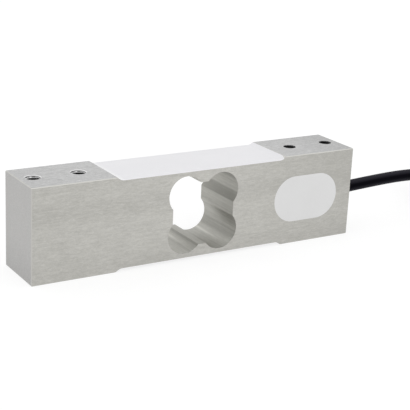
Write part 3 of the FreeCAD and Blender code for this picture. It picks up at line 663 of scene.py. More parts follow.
@dataclass(frozen=True)
class Braided:
    """Fine metal strands laid in two directions round a tube."""

    name: str
    tone: Triple
    pitch: float = 0.5
    lay: Triple = (0.5, 0.3, 0.78)
    dark_share: float = 0.45
    roughness: float = 0.5
    polish: float = 0.15
    depth: float = 0.03

    def build(self) -> bpy.types.Material:
        """Two sets of diagonal waves on object coordinates, the higher one showing.

        Returns:
            The finished material.
        """
        r = Recipe.named(self.name)
        turned = [r.place(turn=(self.lay[0] * sign, self.lay[1], self.lay[2] * sign)) for sign in (-1, 1)]
        sockets = [{"Vector": place, "Scale": 1 / self.pitch} for place in turned]
        waves = [r.node("ShaderNodeTexWave", {"wave_type": "BANDS"}, each) for each in sockets]
        height = r.math("MAXIMUM", *waves)
        dark = tuple(value * self.dark_share for value in self.tone)
        return r.finish(
            Base_Color=r.blend(dark, self.tone, height),
            Metallic=1.0,
            Roughness=self.roughness - height * self.polish,
            Normal=r.bump(height, self.depth),
        )


@dataclass(frozen=True)
class HookTape:
    """Black hook and loop strap: a close weave of short loops."""

    tone: Triple = (0.012, 0.012, 0.013)
    # Painted highlight: the loops' tops are this many times lighter.
    top_share: float = 3.2
    pitch: float = 0.45
    cell_share: float = 0.7
    fuzz: Noise = Noise(scale=6.0, detail=4, rough=0.7, weight=0.2)
    roughness: float = 0.75
    depth: float = 0.12

    def build(self) -> bpy.types.Material:
        """Small round cells, with a painted highlight at their tops.

        Returns:
            The finished material.
        """
        r = Recipe.named("hook_tape")
        cells = r.node("ShaderNodeTexVoronoi", {}, {"Vector": r.place(), "Scale": 1 / self.pitch})
        fuzz = self.fuzz.on(r)
        height = (1.0 - cells) * self.cell_share + fuzz * (1 - self.cell_share)
        return r.finish(
            Base_Color=r.blend(self.tone, tuple(value * self.top_share for value in self.tone), height),
            Roughness=self.roughness + self.fuzz.weigh(fuzz),
            Normal=r.bump(height, self.depth),
        )


class Hue(Enum):
    """Insulation colours of the four cores."""

    red = (0.42, 0.012, 0.012)
    black = (0.008, 0.008, 0.009)
    green = (0.010, 0.19, 0.042)
    white = (0.72, 0.72, 0.70)


class Finishes:
    """All finishes by the record's slot name, each made once."""

    def __init__(self) -> None:
        """Builds every material."""
        plain = [
            Moulded("white_potting", (0.735, 0.735, 0.735), 0.42, 0.025, 0.5, 0.02, specular=0.4),
            Moulded("black_seal", (0.012, 0.012, 0.012), 0.6, drift=0.2),
            Moulded("black_sleeve", (0.010, 0.010, 0.011), 0.4, drift=0.2),
            Moulded("gauge_film", (0.62, 0.30, 0.035), 0.3, drift=0.1, grain=2.0, skin=0.004),
            Moulded("gauge_foil", (0.55, 0.50, 0.42), 0.32, drift=0.08, grain=4.0, skin=0.004, metallic=1.0),
            Moulded("strip_laminate", (0.48, 0.42, 0.16), 0.5, drift=0.12, grain=3.0),
            Moulded("wire_enamel", (0.34, 0.075, 0.02), 0.25, 0.15, 4.0, 0.004, specular=0.6, metallic=0.6),
            Moulded("adhesive", (0.70, 0.70, 0.66), 0.8, drift=0.06, grain=2.0, skin=0.04),
            Moulded("board", (0.012, 0.10, 0.035), 0.35, drift=0.15, grain=2.0),
            Moulded("copper", (0.78, 0.36, 0.20), 0.35, drift=0.1, grain=3.0, skin=0.006, metallic=1.0),
            Moulded("resistor", (0.02, 0.02, 0.022), 0.5, drift=0.15, grain=3.0),
            Moulded("solder", (0.56, 0.56, 0.57), 0.28, drift=0.08, grain=2.5, skin=0.02, metallic=1.0),
        ]
        self.by_slot = {finish.name: finish.build() for finish in plain}
        for hue in Hue:
            name = f"{hue.name}_insulation"
            self.by_slot[name] = Moulded(name, hue.value, 0.42, 0.08, 1.2, 0.01).build()
        self.by_slot["aluminium"] = MilledAluminium().build()
        self.by_slot["white_rubber"] = PouredRubber().build()
        self.by_slot["black_jacket"] = CableJacket().build()
        self.by_slot["tinned_copper"] = Braided("tinned_copper", (0.50, 0.48, 0.46)).build()
        self.by_slot["tie"] = HookTape().build()


def dress(piece: Piece, slot: str, finishes: Finishes) -> None:
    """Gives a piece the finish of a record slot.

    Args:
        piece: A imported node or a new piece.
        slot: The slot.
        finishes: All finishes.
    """
    piece.data.materials.clear()
    piece.data.materials.append(finishes.by_slot[slot])


# Mesh helpers

def show(name: str, data: bpy.types.ID) -> Piece:
    """Puts a mesh, a lamp or a camera into the scene.

    Args:
        name: Name of its object.
        data: The mesh, the lamp or the camera.

    Returns:
        The new object.
    """
    made = bpy.data.objects.new(name, data)
    bpy.context.scene.collection.objects.link(made)
    return made


def new_piece(name: str, points: np.ndarray, faces: list) -> Piece:
    """Makes a mesh object.

    Args:
        name: Name of the piece.
        points: Its points, one in a row.
        faces: For each face the numbers of its points.

    Returns:
        The new piece.
    """
    mesh = bpy.data.meshes.new(name)
    mesh.from_pydata((points * MM).tolist(), [], faces)
    mesh.validate()
    return show(name, mesh)


def grid_faces(rows: int, columns: int, first: int = 0) -> np.ndarray:
    """Quads between neighbouring rows of a grid of points, where each row closes to a ring.

    Args:
        rows: Number of rows, which follow one another in the list of points.
        columns: Points in a row.
        first: Number of the grid's first point.

    Returns:
        The four point numbers of each quad.
    """
    across = np.arange(columns)
    row = np.arange(rows - 1)[:, None] * columns
    here, there = row + across, row + (across + 1) % columns
    return np.stack([here, there, there + columns, here + columns], axis=-1).reshape(-1, 4) + first


def sharpen(piece: Piece, degrees: float = 32) -> None:
    """Smooth shading that breaks at edges steeper than an angle."""
    piece.data.polygons.foreach_set("use_smooth", [True] * len(piece.data.polygons))
    piece.data.set_sharp_from_angle(angle=math.radians(degrees))


def spline_line(name: str, points: np.ndarray, fineness: int) -> np.ndarray:
    """Points along a NURBS spline of order 3 that reaches its two end points.

    Args:
        name: Name of the curve while it is worked out.
        points: The spline's own points.
        fineness: Steps between two of them.

    Returns:
        The points on the spline.
    """
    curve = bpy.data.curves.new(name, "CURVE")
    curve.dimensions = "3D"
    curve.resolution_u = fineness
    spline = curve.splines.new("NURBS")
    spline.points.add(len(points) - 1)
    rows = np.hstack([points * MM, np.ones((len(points), 1))])
    spline.points.foreach_set("co", rows.ravel())
    spline.order_u = 3
    spline.use_endpoint_u = True
    holder = bpy.data.objects.new(name, curve)
    mesh = bpy.data.meshes.new_from_object(holder)
    line = np.zeros(len(mesh.vertices) * 3)
    mesh.vertices.foreach_get("co", line)
    bpy.data.meshes.remove(mesh)
    bpy.data.objects.remove(holder)
    bpy.data.curves.remove(curve)
    return line.reshape(-1, 3) / MM


def tube(name: str, line: np.ndarray, radius: np.ndarray | float, sides: int) -> Piece:
    """Round tube with closed ends along a line that never runs straight up.

    Each ring stands square to the line's direction at its point. Its first axis is that direction crossed
    with the upright, its second the first crossed with the direction. A ring's point is the line's point
    plus the radius times the cosine of its angle along the first axis and the sine along the second.

    Args:
        name: Name of the piece.
        line: Points of the centre line.
        radius: One radius, or one for each point.
        sides: Points in a ring.

    Returns:
        The new piece.
    """
    heading = np.gradient(line, axis=0)
    heading /= np.linalg.norm(heading, axis=1, keepdims=True)
    across = np.cross(heading, (0, 0, 1))
    across /= np.linalg.norm(across, axis=1, keepdims=True)
    over = np.cross(across, heading)
    turn = np.linspace(0, 2 * np.pi, sides, endpoint=False)
    reach = np.broadcast_to(np.asarray(radius, float), len(line))[:, None, None]
    ring = np.cos(turn)[None, :, None] * across[:, None] + np.sin(turn)[None, :, None] * over[:, None]
    count = len(line) * sides
    points = np.vstack([(line[:, None] + reach * ring).reshape(-1, 3), line[:1], line[-1:]])
    wall = grid_faces(len(line), sides)[:, ::-1]
    step = np.arange(sides)
    after = (step + 1) % sides
    first_cap = np.stack([np.full(sides, count), step, after], 1)
    last_cap = np.stack([after + count - sides, step + count - sides, np.full(sides, count + 1)], 1)
    piece = new_piece(name, points, wall.tolist() + first_cap.tolist() + last_cap.tolist())
    sharpen(piece, degrees=50)
    length = np.concatenate([[0], np.cumsum(np.linalg.norm(np.diff(line, axis=0), axis=1))])
    unroll(piece, sides, length)
    return piece


def unroll(piece: Piece, sides: int, length: np.ndarray) -> None:
    """Writes a tube's map: U goes once round, V is the length along the line.

    A face that closes the ring ends at U = 1 instead of 0, and a cap's middle is at U = 0.5.

    Args:
        piece: The tube.
        sides: Points in a ring.
        length: Length along the line up to each ring.
    """
    mesh = piece.data
    corner = np.zeros(len(mesh.loops), int)
    mesh.loops.foreach_get("vertex_index", corner)
    u = (corner % sides) / sides
    v = length[np.minimum(corner // sides, len(length) - 1)]
    starts = np.zeros(len(mesh.polygons), int)
    mesh.polygons.foreach_get("loop_start", starts)
    highest = np.repeat(np.maximum.reduceat(u, starts), np.diff(starts, append=len(u)))
    closing = highest > 0.5
    u = np.where((u == 0) & closing, 1.0, u)
    u[corner >= len(length) * sides] = 0.5
    layer = mesh.uv_layers.new(name="UVMap")
    layer.data.foreach_set("uv", np.stack([u, v], 1).ravel())


# Pieces

@dataclass
class Beam:
    """The milled block with threads in its tapped holes and softened edges."""

    height: float = 39.0
    hole_places: tuple[float, ...] = (-69.0, -50.0, 50.0, 69.0)
    sink_radii: tuple[float, ...] = (3.3, 3.3, 2.7, 2.7)
    minor_radius: float = 2.5
    major_radius: float = 3.02
    thread_pitch: float = 1.0
    thread_length: float = 14.0
    rows_per_pitch: int = 8
    crest: float = 0.15
    edge_round: float = 0.12
    flat_angle: float = 0.4
    sharp_angle: float = 28.0
    level_from: float = 0.99
    rim_margin: float = 0.2
    rim_level: float = 0.01
    seam: float = 0.001
    thread_seam: float = 0.004

    def build(self, node: Piece, finishes: Finishes) -> Piece:
        """Copies the solid's mesh, replaces its plain hole walls by threads and rounds its edges.

        Args:
            node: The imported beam.
            finishes: All finishes.

        Returns:
            The finished beam.
        """
        bm = bmesh.new()
        bm.from_mesh(node.data)
        bmesh.ops.remove_doubles(bm, verts=bm.verts, dist=self.seam * MM)
        self.open_holes(bm)
        flat = [edge for edge in bm.edges if not edge.is_boundary]
        bmesh.ops.dissolve_limit(bm, angle_limit=math.radians(self.flat_angle), verts=bm.verts, edges=flat)
        self.round_edges(bm)
        mouths = [[self.mouth(bm, place, z) for z in (self.height, 0)] for place in self.hole_places]
        mesh = bpy.data.meshes.new("threads")
        points, faces = self.threads(mouths)
        mesh.from_pydata((points * MM).tolist(), [], faces.tolist())
        bm.from_mesh(mesh)
        bpy.data.meshes.remove(mesh)
        bmesh.ops.remove_doubles(bm, verts=bm.verts, dist=self.thread_seam * MM)
        bmesh.ops.recalc_face_normals(bm, faces=bm.faces)
        LOG.info("beam: %d open edges", sum(edge.is_boundary for edge in bm.edges))
        mesh = bpy.data.meshes.new("beam")
        bm.to_mesh(mesh)
        bm.free()
        beam = show("beam", mesh)
        sharpen(beam)
        level = beam.modifiers.new("level_normals", "WEIGHTED_NORMAL")
        level.weight = 100
        level.keep_sharp = True
        dress(beam, "aluminium", finishes)
        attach(beam, "root")
        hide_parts("beam_body")
        return beam

    def off_axis(self, face: bmesh.types.BMFace) -> float:
        """Distance of a face's middle from the nearest hole's axis."""
        middle = face.calc_center_median() / MM
        return min(math.hypot(middle.x - place, middle.y) for place in self.hole_places)

    def open_holes(self, bm: bmesh.types.BMesh) -> None:
        """Deletes the countersinks and plain walls of the tapped holes.

        Args:
            bm: The beam's mesh.
        """
        walls = [face for face in bm.faces if abs(face.normal.z) < self.level_from]
        gone = [face for face in walls if self.off_axis(face) < max(self.sink_radii)]
        bmesh.ops.delete(bm, geom=gone, context="FACES")

    def round_edges(self, bm: bmesh.types.BMesh) -> None:
        """Rounds every sharp edge away from the open holes.

        Args:
            bm: The beam's mesh.
        """
        inner = [edge for edge in bm.edges if not any(vertex.is_boundary for vertex in edge.verts)]
        sharp = [edge for edge in inner if edge.calc_face_angle(0) > math.radians(self.sharp_angle)]
        sizes = {"offset": self.edge_round * MM, "segments": 2, "profile": 0.5}
        bmesh.ops.bevel(bm, geom=sharp, affect="EDGES", clamp_overlap=True, **sizes)

    def mouth(self, bm: bmesh.types.BMesh, place: float, level: float) -> np.ndarray:
        """Angles of a hole's mouth points about its axis.

        Args:
            bm: The beam's mesh with its holes open.
            place: The hole's place along the beam.
            level: Height of the mouth.

        Returns:
            The angles in radians, in rising order.
        """
        open_points = [vertex.co for vertex in bm.verts if vertex.is_boundary]
        rim = np.array([point for point in open_points if abs(point.z / MM - level) < self.rim_level]) / MM
        rim = rim[np.hypot(rim[:, 0] - place, rim[:, 1]) < max(self.sink_radii) + self.rim_margin]
        return np.sort(np.arctan2(rim[:, 1], rim[:, 0] - place))

    def threads(self, mouths: list[list[np.ndarray]]) -> tuple[np.ndarray, np.ndarray]:
        """Walls of all the holes, rows from the upper mouth to the lower one.

        A wall's radius is the larger of the countersink's cone and the thread. The cone's radius is the
        mouth's less the depth. The thread's is the drilled radius plus a share of the thread's depth, which
        is a trapezoid wave of the height in pitches less the angle in turns, and fades out one turn before
        the wall's end.

        Args:
            mouths: Angles of the upper and the lower mouth's points, for each hole.

        Returns:
            Points and quads.
        """
        rows = round(self.thread_length / self.thread_pitch * self.rows_per_pitch) + 1
        turns = np.linspace(0, self.thread_length, rows)
        z = np.concatenate([self.height - turns, turns[::-1]])[:, None]
        depth = np.minimum(z, self.height - z)
        points, faces, count = [], [], 0
        for place, sink, pair in zip(self.hole_places, self.sink_radii, mouths):
            angle = np.vstack([np.tile(mouth, (rows, 1)) for mouth in pair])
            cone = sink - depth
            phase = np.mod(z / self.thread_pitch - angle / (2 * np.pi), 1)
            wave = np.clip((np.abs(2 * phase - 1) - self.crest) / (1 - 2 * self.crest), 0, 1)
            fade = np.clip((self.thread_length - self.thread_pitch - depth) / self.thread_pitch, 0, 1)
            wall = self.minor_radius + (self.major_radius - self.minor_radius) * wave * fade
            radius = np.maximum(cone, np.where(depth > 0, wall, 0))
            x = place + radius * np.cos(angle)
            grid = np.stack([x, radius * np.sin(angle), np.broadcast_to(z, angle.shape)], axis=-1)
            points.append(grid.reshape(-1, 3))
            faces.append(grid_faces(*angle.shape, count))
            count += angle.size
        return np.vstack(points), np.vstack(faces)


@dataclass
class GaugeCover:
    """The poured cover over the upper gauges, level in the middle and drawn up a little at its ends."""

    half_width: float = 12.7
    recess_edge: float = 39.4
    floor: float = 37.6
    recess_radius: float = 4.0
    recess_depth: float = 1.4
    drop: float = 0.1
    thickness: float = 0.4
    side_round: float = 0.28
    side_fall: float = 0.12
    corner_sag: float = 0.8
    corner_length: float = 3.6
    wave_height: float = 0.015
    wave_along: float = 0.21
    wave_across: float = 0.5
    edge_points: int = 6
    cross_points: int = 24
    arc_points: int = 14
    level_points: int = 160

    def arc(self, rise: np.ndarray, lift: float) -> tuple[np.ndarray, np.ndarray]:
        """End arc of an outline, tangent to its level stretch.

        The recess's own arc has its foot where it leaves the floor. The rubber's rim lies on it at the rise.
        An arc that starts a lift above the floor has the same radius and ends at the same rim. It starts
        before the rim by the root of twice the radius times its height less the height squared.

        Args:
            rise: Height of the rim over the recess floor, one for each row.
            lift: Height of the level stretch over the floor.

        Returns:
            Places along X and heights, a row of points for each rise.
        """
        radius = self.recess_radius
        foot = self.recess_edge - math.sqrt(2 * radius * self.recess_depth - self.recess_depth**2)
        rim = foot + np.sqrt(2 * radius * rise - rise**2)
        height = rise - lift
        reach = np.sqrt(2 * radius * height - height**2)
        part = np.linspace(0, 1, self.arc_points)
        x = rim[:, None] - reach[:, None] * (1 - part)
        z = self.floor + lift + radius - np.sqrt(radius**2 - (reach[:, None] * part) ** 2)
        return x, z

    def outline(self, y: np.ndarray, lift: float) -> tuple[np.ndarray, np.ndarray]:
        """Lower or upper side of the cover from end to end: an arc, the level stretch and an arc.

        At the front corner by the cable end the rubber didn't fill the recess: there the rim falls by a
        square law over the corner's length.

        Args:
            y: Places across the beam.
            lift: Height of the level stretch over the floor.

        Returns:
            Places along X and heights, a row of points for each y.
        """
        rise = np.full(len(y), self.recess_depth - self.drop)
        corner = np.clip((self.corner_length - self.half_width - y) / self.corner_length, 0, 1)
        left_x, left_z = self.arc(rise, lift)
        right_x, right_z = self.arc(rise - self.corner_sag * corner**2, lift)
        part = np.linspace(0, 1, self.level_points)[1:-1]
        level_x = -left_x[:, :1] + (right_x[:, :1] + left_x[:, :1]) * part
        level_z = np.full(level_x.shape, self.floor + lift)
        return np.hstack([-left_x[:, ::-1], level_x, right_x]), np.hstack([left_z[:, ::-1], level_z, right_z])

    def build(self, finishes: Finishes) -> Piece:
        """Closed skin: the outline carried across the beam, its upper side falling off at the side faces.

        The fall is its full size times one less the root of one less the square of the share of the way
        over the rounded side. The rest has low waves, the sine of a sum of both places.

        Args:
            finishes: All finishes.

        Returns:
            The finished cover.
        """
        bend = 1 - np.sin(np.linspace(0, np.pi / 2, self.edge_points))
        edge = self.half_width - self.side_round * bend
        y = np.concatenate([-edge[::-1], np.linspace(-edge[0], edge[0], self.cross_points)[1:-1], edge])
        low_x, low_z = self.outline(y, 0.0)
        top_x, top_z = self.outline(y, self.thickness)
        across = np.broadcast_to(y[:, None], top_x.shape)
        outer = np.clip((np.abs(across) - edge[0]) / self.side_round, 0, 1)
        thin = np.clip((top_z - low_z) / self.thickness, 0, 1)
        fall = self.side_fall * (1 - np.sqrt(1 - outer**2))
        waves = self.wave_height * np.sin(top_x * self.wave_along + across * self.wave_across) * (1 - outer)
        top = np.stack([top_x, across, top_z + (waves - fall) * thin], -1)
        under = np.stack([low_x, across, low_z], -1)
        ring = np.concatenate([top, under[:, ::-1]], axis=1)
        rows, columns = ring.shape[:2]
        step = np.arange(columns // 2 - 1)
        cap = np.stack([step, step + 1, columns - 2 - step, columns - 1 - step], axis=1)
        faces = np.vstack([grid_faces(rows, columns), cap[:, ::-1], cap + (rows - 1) * columns])
        piece = new_piece("gauge_cover", ring.reshape(-1, 3), faces.tolist())
        close_up(piece)
        sharpen(piece, degrees=50)
        dress(piece, "white_rubber", finishes)
        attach(piece, "root")
        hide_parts("top_gauge_cover")
        return piece


def close_up(piece: Piece, seam: float = 0.002, sliver: float = 0.0001) -> None:
    """Merges doubled points, drops slivers and turns all faces outward.

    Args:
        piece: The piece to mend.
        seam: Points nearer than this are one.
        sliver: Faces thinner than this are dropped.
    """
    bm = bmesh.new()
    bm.from_mesh(piece.data)
    bmesh.ops.remove_doubles(bm, verts=bm.verts, dist=seam * MM)
    bmesh.ops.dissolve_degenerate(bm, edges=bm.edges, dist=sliver * MM)
    bmesh.ops.recalc_face_normals(bm, faces=bm.faces)
    bm.to_mesh(piece.data)
    bm.free()


@dataclass(frozen=True)
class HankShape:
    """What the cable shares with its ties: its own diameter, and how its layers lie."""

    diameter: float = 5.2
    middle: float = 5.5
    fold_radius: float = 15.6
    layers: int = 4
    lowest: float = 3.3


@dataclass
class Cable:
    """The round cable from the end face to the end of its jacket, folded into a tied hank."""

    shape: HankShape = HankShape()
    length: float = 990.0
    near_arc: float = 156.2
    far_arc: float = 229.0
    jacket_end: float = 176.0
    arc_step: float = 30.0
    fineness: int = 8
    sides: int = 28
    route: tuple[Triple, ...] = (
        (75.0, -6.5, 19.5),
        (93.0, -6.5, 20.6),
        (111.0, -6.8, 21.2),
        (126.0, -8.0, 20.5),
        (138.0, -9.3, 19.1),
        (149.0, -10.1, 18.9),
    )

    def hank(self) -> np.ndarray:
        """Points of the folded length.

        A layer goes out along the near side, round the far fold, back, and round the near fold, where it
        sinks by one diameter, by three times the square less twice the cube of the share of the fold. A
        fold's points stand outside its arc, so that the spline's runs touch it.

        Returns:
            The spline's points, layer after layer from the top down.
        """
        shape = self.shape
        half = math.radians(self.arc_step / 2)
        reach = shape.fold_radius / math.cos(half)
        touch = shape.fold_radius * math.tan(half)
        turn = np.radians(np.arange(self.arc_step / 2, 180, self.arc_step))
        out_y, back_y = (shape.middle + side * shape.fold_radius for side in (-1, 1))
        along, across = reach * np.sin(turn), reach * np.cos(turn)
        out = [(self.near_arc + touch, out_y), (self.far_arc - touch, out_y)]
        far_fold = np.stack([self.far_arc + along, shape.middle - across], 1)
        back = [(self.far_arc - touch, back_y), (self.near_arc + touch, back_y)]
        near_fold = np.stack([self.near_arc - along, shape.middle + across], 1)
        lap = np.vstack([out, far_fold, back, near_fold])
        share = turn / np.pi
        fall = shape.diameter * share**2 * (3 - 2 * share)
        sink = np.concatenate([np.zeros(len(lap) - len(turn)), fall])
        tops = shape.lowest + shape.diameter * np.arange(shape.layers)[::-1]
        points = [np.column_stack([lap, top - sink]) for top in tops]
        points[-1] = points[-1][: len(out) + len(far_fold) + 1]
        points.append(np.array([(self.jacket_end, back_y, shape.lowest)]))
        return np.vstack(points)

    def build(self, finishes: Finishes, pieces_on_it: list[Piece]) -> Piece:
        """Args:
            finishes: All finishes.
            pieces_on_it: The leads, tips and ties, which lie along the cable; not used.

        Returns:
            The finished cable.
        """
        line = spline_line("cable_line", np.vstack([self.route, self.hank()]), self.fineness)
        cable = tube("cable", line, self.shape.diameter / 2, self.sides)
        dress(cable, "black_jacket", finishes)
        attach(cable, "root")
        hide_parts("cable_free", "cable_hank")
        return cable


@dataclass
class HankTies:
    """Two hook and loop straps round the long sides of the hank."""

    shape: HankShape = HankShape()
    place: float = 192.6
    width: float = 6.0
    strap: float = 0.7
    corner: float = 2.3
    section_round: float = 0.28
    section_flat: float = 1.35
    corner_points: int = 8
    section_points: int = 16

    def build(self, finishes: Finishes) -> Piece:
        """Carries a rounded section round the strands of each long side.

        Args:
            finishes: All finishes.

        Returns:
            Both straps as one piece.
        """
        points, faces, count = [], [], 0
        for side in (-1, 1):
            ring = self.loop(self.shape.middle + side * self.shape.fold_radius)
            ring = np.concatenate([ring, ring[:1]])
            points.append(ring.reshape(-1, 3))
            faces.append(grid_faces(*ring.shape[:2], count))
            count += len(points[-1])
        piece = new_piece("hank_straps", np.vstack(points), np.vstack(faces).tolist())
        close_up(piece)
        sharpen(piece, degrees=40)
        dress(piece, "tie", finishes)
        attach(piece, "root")
        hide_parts("hank_ties")
        return piece

    def loop(self, strand: float) -> np.ndarray:
        """Points of one strap, whose outside is a rounded rectangle round the strands.

        A path point is its corner's centre plus the corner radius along the outward direction. The section
        there is a flattened circle: the sine goes through the strap and the cosine across its width.

        Args:
            strand: Middle of the strands across the beam.

        Returns:
            A row of points for each path point, a column for each point of the section.
        """
        high = self.shape.layers * self.shape.diameter / 2 + self.strap
        wide = self.shape.diameter / 2 + self.strap
        corner = self.corner + self.strap
        turn = np.radians(np.arange(0, 360, 90)[:, None] + np.linspace(0, 90, self.corner_points)).ravel()
        outward = np.stack([np.cos(turn), np.sin(turn)], 1)
        signs = np.repeat([(1, 1), (-1, 1), (-1, -1), (1, -1)], self.corner_points, axis=0)
        path = outward * corner + signs * (wide - corner, high - corner)
        bend = np.linspace(0, 2 * np.pi, self.section_points, endpoint=False)
        half = self.width / 2 - self.section_round
        flat_x, flat_d = (np.clip(part * self.section_flat, -1, 1) for part in (np.cos(bend), np.sin(bend)))
        section_x = flat_x * half + np.cos(bend) * self.section_round
        depth = (1 - flat_d) * self.strap / 2
        yz = path[:, None] - outward[:, None] * depth[:, None]
        x = np.broadcast_to(self.place + section_x, yz.shape[:2])
        return np.stack([x, strand + yz[..., 0], high + yz[..., 1]], axis=-1)


@dataclass(frozen=True)
class Lead:
    """A stripped lead: its place beside the jacket's middle, its radius, and the rest of its route."""

    colour: str
    offset: tuple[float, float]
    radius: float
    route: tuple[Triple, ...]


@dataclass
class FreeLeads:
    """The stripped end of the cable: four leads and the drain wire with tinned tips."""

    start: Triple = (177.5, 21.1, 3.3)
    fineness: int = 12
    sides: int = 14
    tip_radius: float = 0.3
    tip_inside: float = 0.5
    tip_length: float = 5.0
    tip_sides: int = 12
    tip_points: int = 24
    tip_end: tuple[float, ...] = (0.96, 0.85, 0.62, 0.3)
    fan: tuple[Lead, ...] = (
        Lead("shield", (-1.6, 0), 0.4, (
            (171, 18.7, 2.9), (166.5, 14.8, 1.2), (164, 9.0, 0.4), (162.5, 3.4, 0.4)
        )),
        Lead("white", (-0.62, -0.62), 0.55, (
            (170, 20, 2.4), (164, 16.8, 1.1), (159.5, 11.2, 0.56), (156.5, 5.6, 0.56)
        )),
        Lead("red", (-0.62, 0.62), 0.55, (
            (169, 20.2, 3.5), (161.5, 17.8, 1.6), (155.5, 13, 0.56), (151.5, 7.6, 0.56)
        )),
        Lead("green", (0.62, -0.62), 0.55, (
            (167, 21.5, 2.4), (159.5, 19.3, 1.1), (153, 15.4, 0.56), (148.9, 10.6, 0.56)
        )),
        Lead("black", (0.62, 0.62), 0.55, (
            (166, 21.8, 3.7), (158, 20.6, 2.0), (152, 17.2, 0.56), (149.2, 13.8, 0.56)
        )),
    )

    def build(self, finishes: Finishes) -> list[Piece]:
        """Makes each lead along its spline, and all the tips as one piece.

        Args:
            finishes: All finishes.

        Returns:
            The leads, then the tips.
        """
        made, tips = [], []
        x, y, z = self.start
        for lead in self.fan:
            start = (x, y + lead.offset[0], z + lead.offset[1])
            line = spline_line(f"lead_line_{lead.colour}", np.array([start, *lead.route]), self.fineness)
            piece = tube(f"stripped_{lead.colour}", line, lead.radius, self.sides)
            slot = "tinned_copper" if lead.colour == "shield" else f"{lead.colour}_insulation"
            dress(piece, slot, finishes)
            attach(piece, "root")
            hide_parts(f"lead_{lead.colour}")
            made.append(piece)
            heading = line[-1] - line[-2]
            heading /= np.linalg.norm(heading)
            out = np.linspace(-self.tip_inside, self.tip_length, self.tip_points)
            tips.append(line[-1] + out[:, None] * heading)
        made.append(self.tip_piece(tips, finishes))
        return made

    def tip_piece(self, tips: list[np.ndarray], finishes: Finishes) -> Piece:
        """Makes the tinned tips, straight tubes with a rounded end, joined into one piece.

        Args:
            tips: Centre line of each tip.
            finishes: All finishes.

        Returns:
            The finished tips.
        """
        radius = np.full(self.tip_points, self.tip_radius)
        radius[-len(self.tip_end) :] *= self.tip_end
        parts = [tube(f"tip_{number}", line, radius, self.tip_sides) for number, line in enumerate(tips)]
        bm = bmesh.new()
        for part in parts:
            bm.from_mesh(part.data)
        mesh = bpy.data.meshes.new("tinned_tips")
        bm.to_mesh(mesh)
        bm.free()
        for part in parts:
            bpy.data.objects.remove(part)
        piece = show("tinned_tips", mesh)
        dress(piece, "solder", finishes)
        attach(piece, "root")
        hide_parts("lead_tips")
        return piece


# Surroundings

@dataclass(frozen=True)
class Lamp:
    """A soft lamp: where it stands, how wide and high it is, and its power in watts."""

    name: str
    place: Triple
    size: tuple[float, float]
    power: float


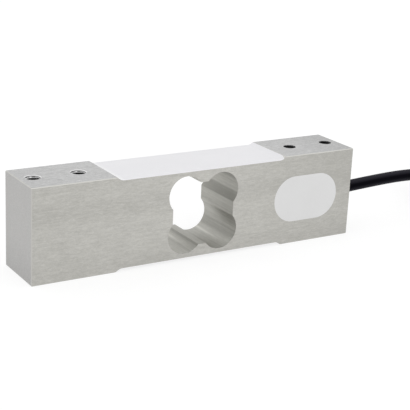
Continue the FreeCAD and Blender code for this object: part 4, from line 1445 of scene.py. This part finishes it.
@dataclass
class Studio:
    """Camera, plain light and white surroundings. The camera comes from the block's corners in the photo."""

    place: Triple = (-236.27, -389.21, 167.23)
    right: Triple = (0.85347222, -0.51909371, 0.04611818)
    down: Triple = (-0.12317338, -0.28691830, -0.95000327)
    forward: Triple = (0.50637286, 0.80512087, -0.30881533)
    lens: float = 101.568
    film: float = 36.0
    nearest: float = 10.0
    farthest: float = 20000.0
    sky: float = 0.86
    floor_half: float = 4000.0
    floor_white: float = 0.80
    floor_faint: float = 0.30
    floor_glow: float = 0.765
    beam_middle: Triple = (0, 0, 20)
    lamps: tuple[Lamp, ...] = (
        Lamp("front_lamp", (50, -1200, 280), (800, 500), 2.6),
        Lamp("back_lamp", (-100, 900, 700), (1000, 700), 0.5),
    )

    def build(self) -> None:
        """Sets up everything that isn't the object."""
        self.camera()
        self.world()
        self.floor()
        for lamp in self.lamps:
            self.light(lamp)
        bpy.context.scene.view_settings.view_transform = "Standard"

    def camera(self) -> None:
        """Places the camera by its three axes."""
        data = bpy.data.cameras.new("camera")
        data.lens = self.lens
        data.sensor_width = self.film
        data.clip_start, data.clip_end = self.nearest * MM, self.farthest * MM
        camera = show("camera", data)
        matrix = np.eye(4)
        matrix[:3, :3] = np.array([self.right, self.down, self.forward]).T * (1, -1, -1)
        matrix[:3, 3] = np.array(self.place) * MM
        camera.matrix_world = Matrix(matrix.tolist())
        bpy.context.scene.camera = camera

    def seen(self, r: Recipe) -> Signal:
        """Tells what is seen from what only lights the object.

        Args:
            r: Recipe of the floor or the world.

        Returns:
            One for rays of the camera, of reflections and through glass, zero for the others.
        """
        outputs = r.node("ShaderNodeLightPath").socket.node.outputs
        kinds = ("Is Camera Ray", "Is Glossy Ray", "Is Transmission Ray")
        camera, glossy, through = (Signal(r, outputs[kind]) for kind in kinds)
        return r.math("MAXIMUM", r.math("MAXIMUM", camera, glossy), through)

    def world(self) -> None:
        """White where it is seen, slightly lower as light."""
        world = bpy.data.worlds.new("studio")
        bpy.context.scene.world = world
        r = Recipe(world)
        strength = self.seen(r) * (1.0 - self.sky) + self.sky
        r.close(r.node("ShaderNodeBackground", {}, {"Color": (1, 1, 1, 1), "Strength": strength}))

    def floor(self) -> None:
        """White floor, which glows where it is seen and is plain for light that bounces."""
        corners = np.array([(-1, -1, 0), (1, -1, 0), (1, 1, 0), (-1, 1, 0)])
        plane = new_piece("floor", corners * self.floor_half, [(0, 1, 2, 3)])
        r = Recipe.named("white_floor")
        matte, faint = (
            r.node("ShaderNodeBsdfDiffuse", {}, {"Color": (white, white, white, 1)})
            for white in (self.floor_white, self.floor_faint)
        )
        glow = r.node("ShaderNodeEmission", {}, {"Color": (1, 1, 1, 1), "Strength": self.floor_glow})
        shown = r.node("ShaderNodeAddShader", {}, {0: faint, 1: glow})
        r.close(r.node("ShaderNodeMixShader", {}, {0: self.seen(r), 1: matte, 2: shown}))
        plane.data.materials.append(r.owner)

    def light(self, lamp: Lamp) -> None:
        """Makes an area lamp that looks at the middle of the beam.

        Args:
            lamp: Where it stands, its size and its power.
        """
        data = bpy.data.lights.new(lamp.name, "AREA")
        data.shape = "RECTANGLE"
        data.size, data.size_y = (side * MM for side in lamp.size)
        data.energy = lamp.power
        made = show(lamp.name, data)
        made.location = Vector(lamp.place) * MM
        aim = Vector(self.beam_middle) * MM - made.location
        made.rotation_euler = aim.to_track_quat("-Z", "Y").to_euler()


# Order of work

def main() -> None:
    """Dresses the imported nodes, builds the looks in order and reports each piece."""
    logging.basicConfig(level=logging.INFO, format="%(message)s")
    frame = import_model()
    finishes = Finishes()
    for row in frame["record"]["subparts"]:
        dress(frame["nodes"][row["node"]], row["material_slot"], finishes)
    Studio().build()
    on_cable = [*FreeLeads().build(finishes), HankTies().build(finishes)]
    made = [Cable().build(finishes, on_cable), *on_cable]
    made.append(Beam().build(frame["nodes"]["beam_body"], finishes))
    made.append(GaugeCover().build(finishes))
    for piece in made:
        LOG.info("%s: %d faces", piece.name, len(piece.data.polygons))
    bpy.context.view_layer.update()


if __name__ == "__main__":
    main()
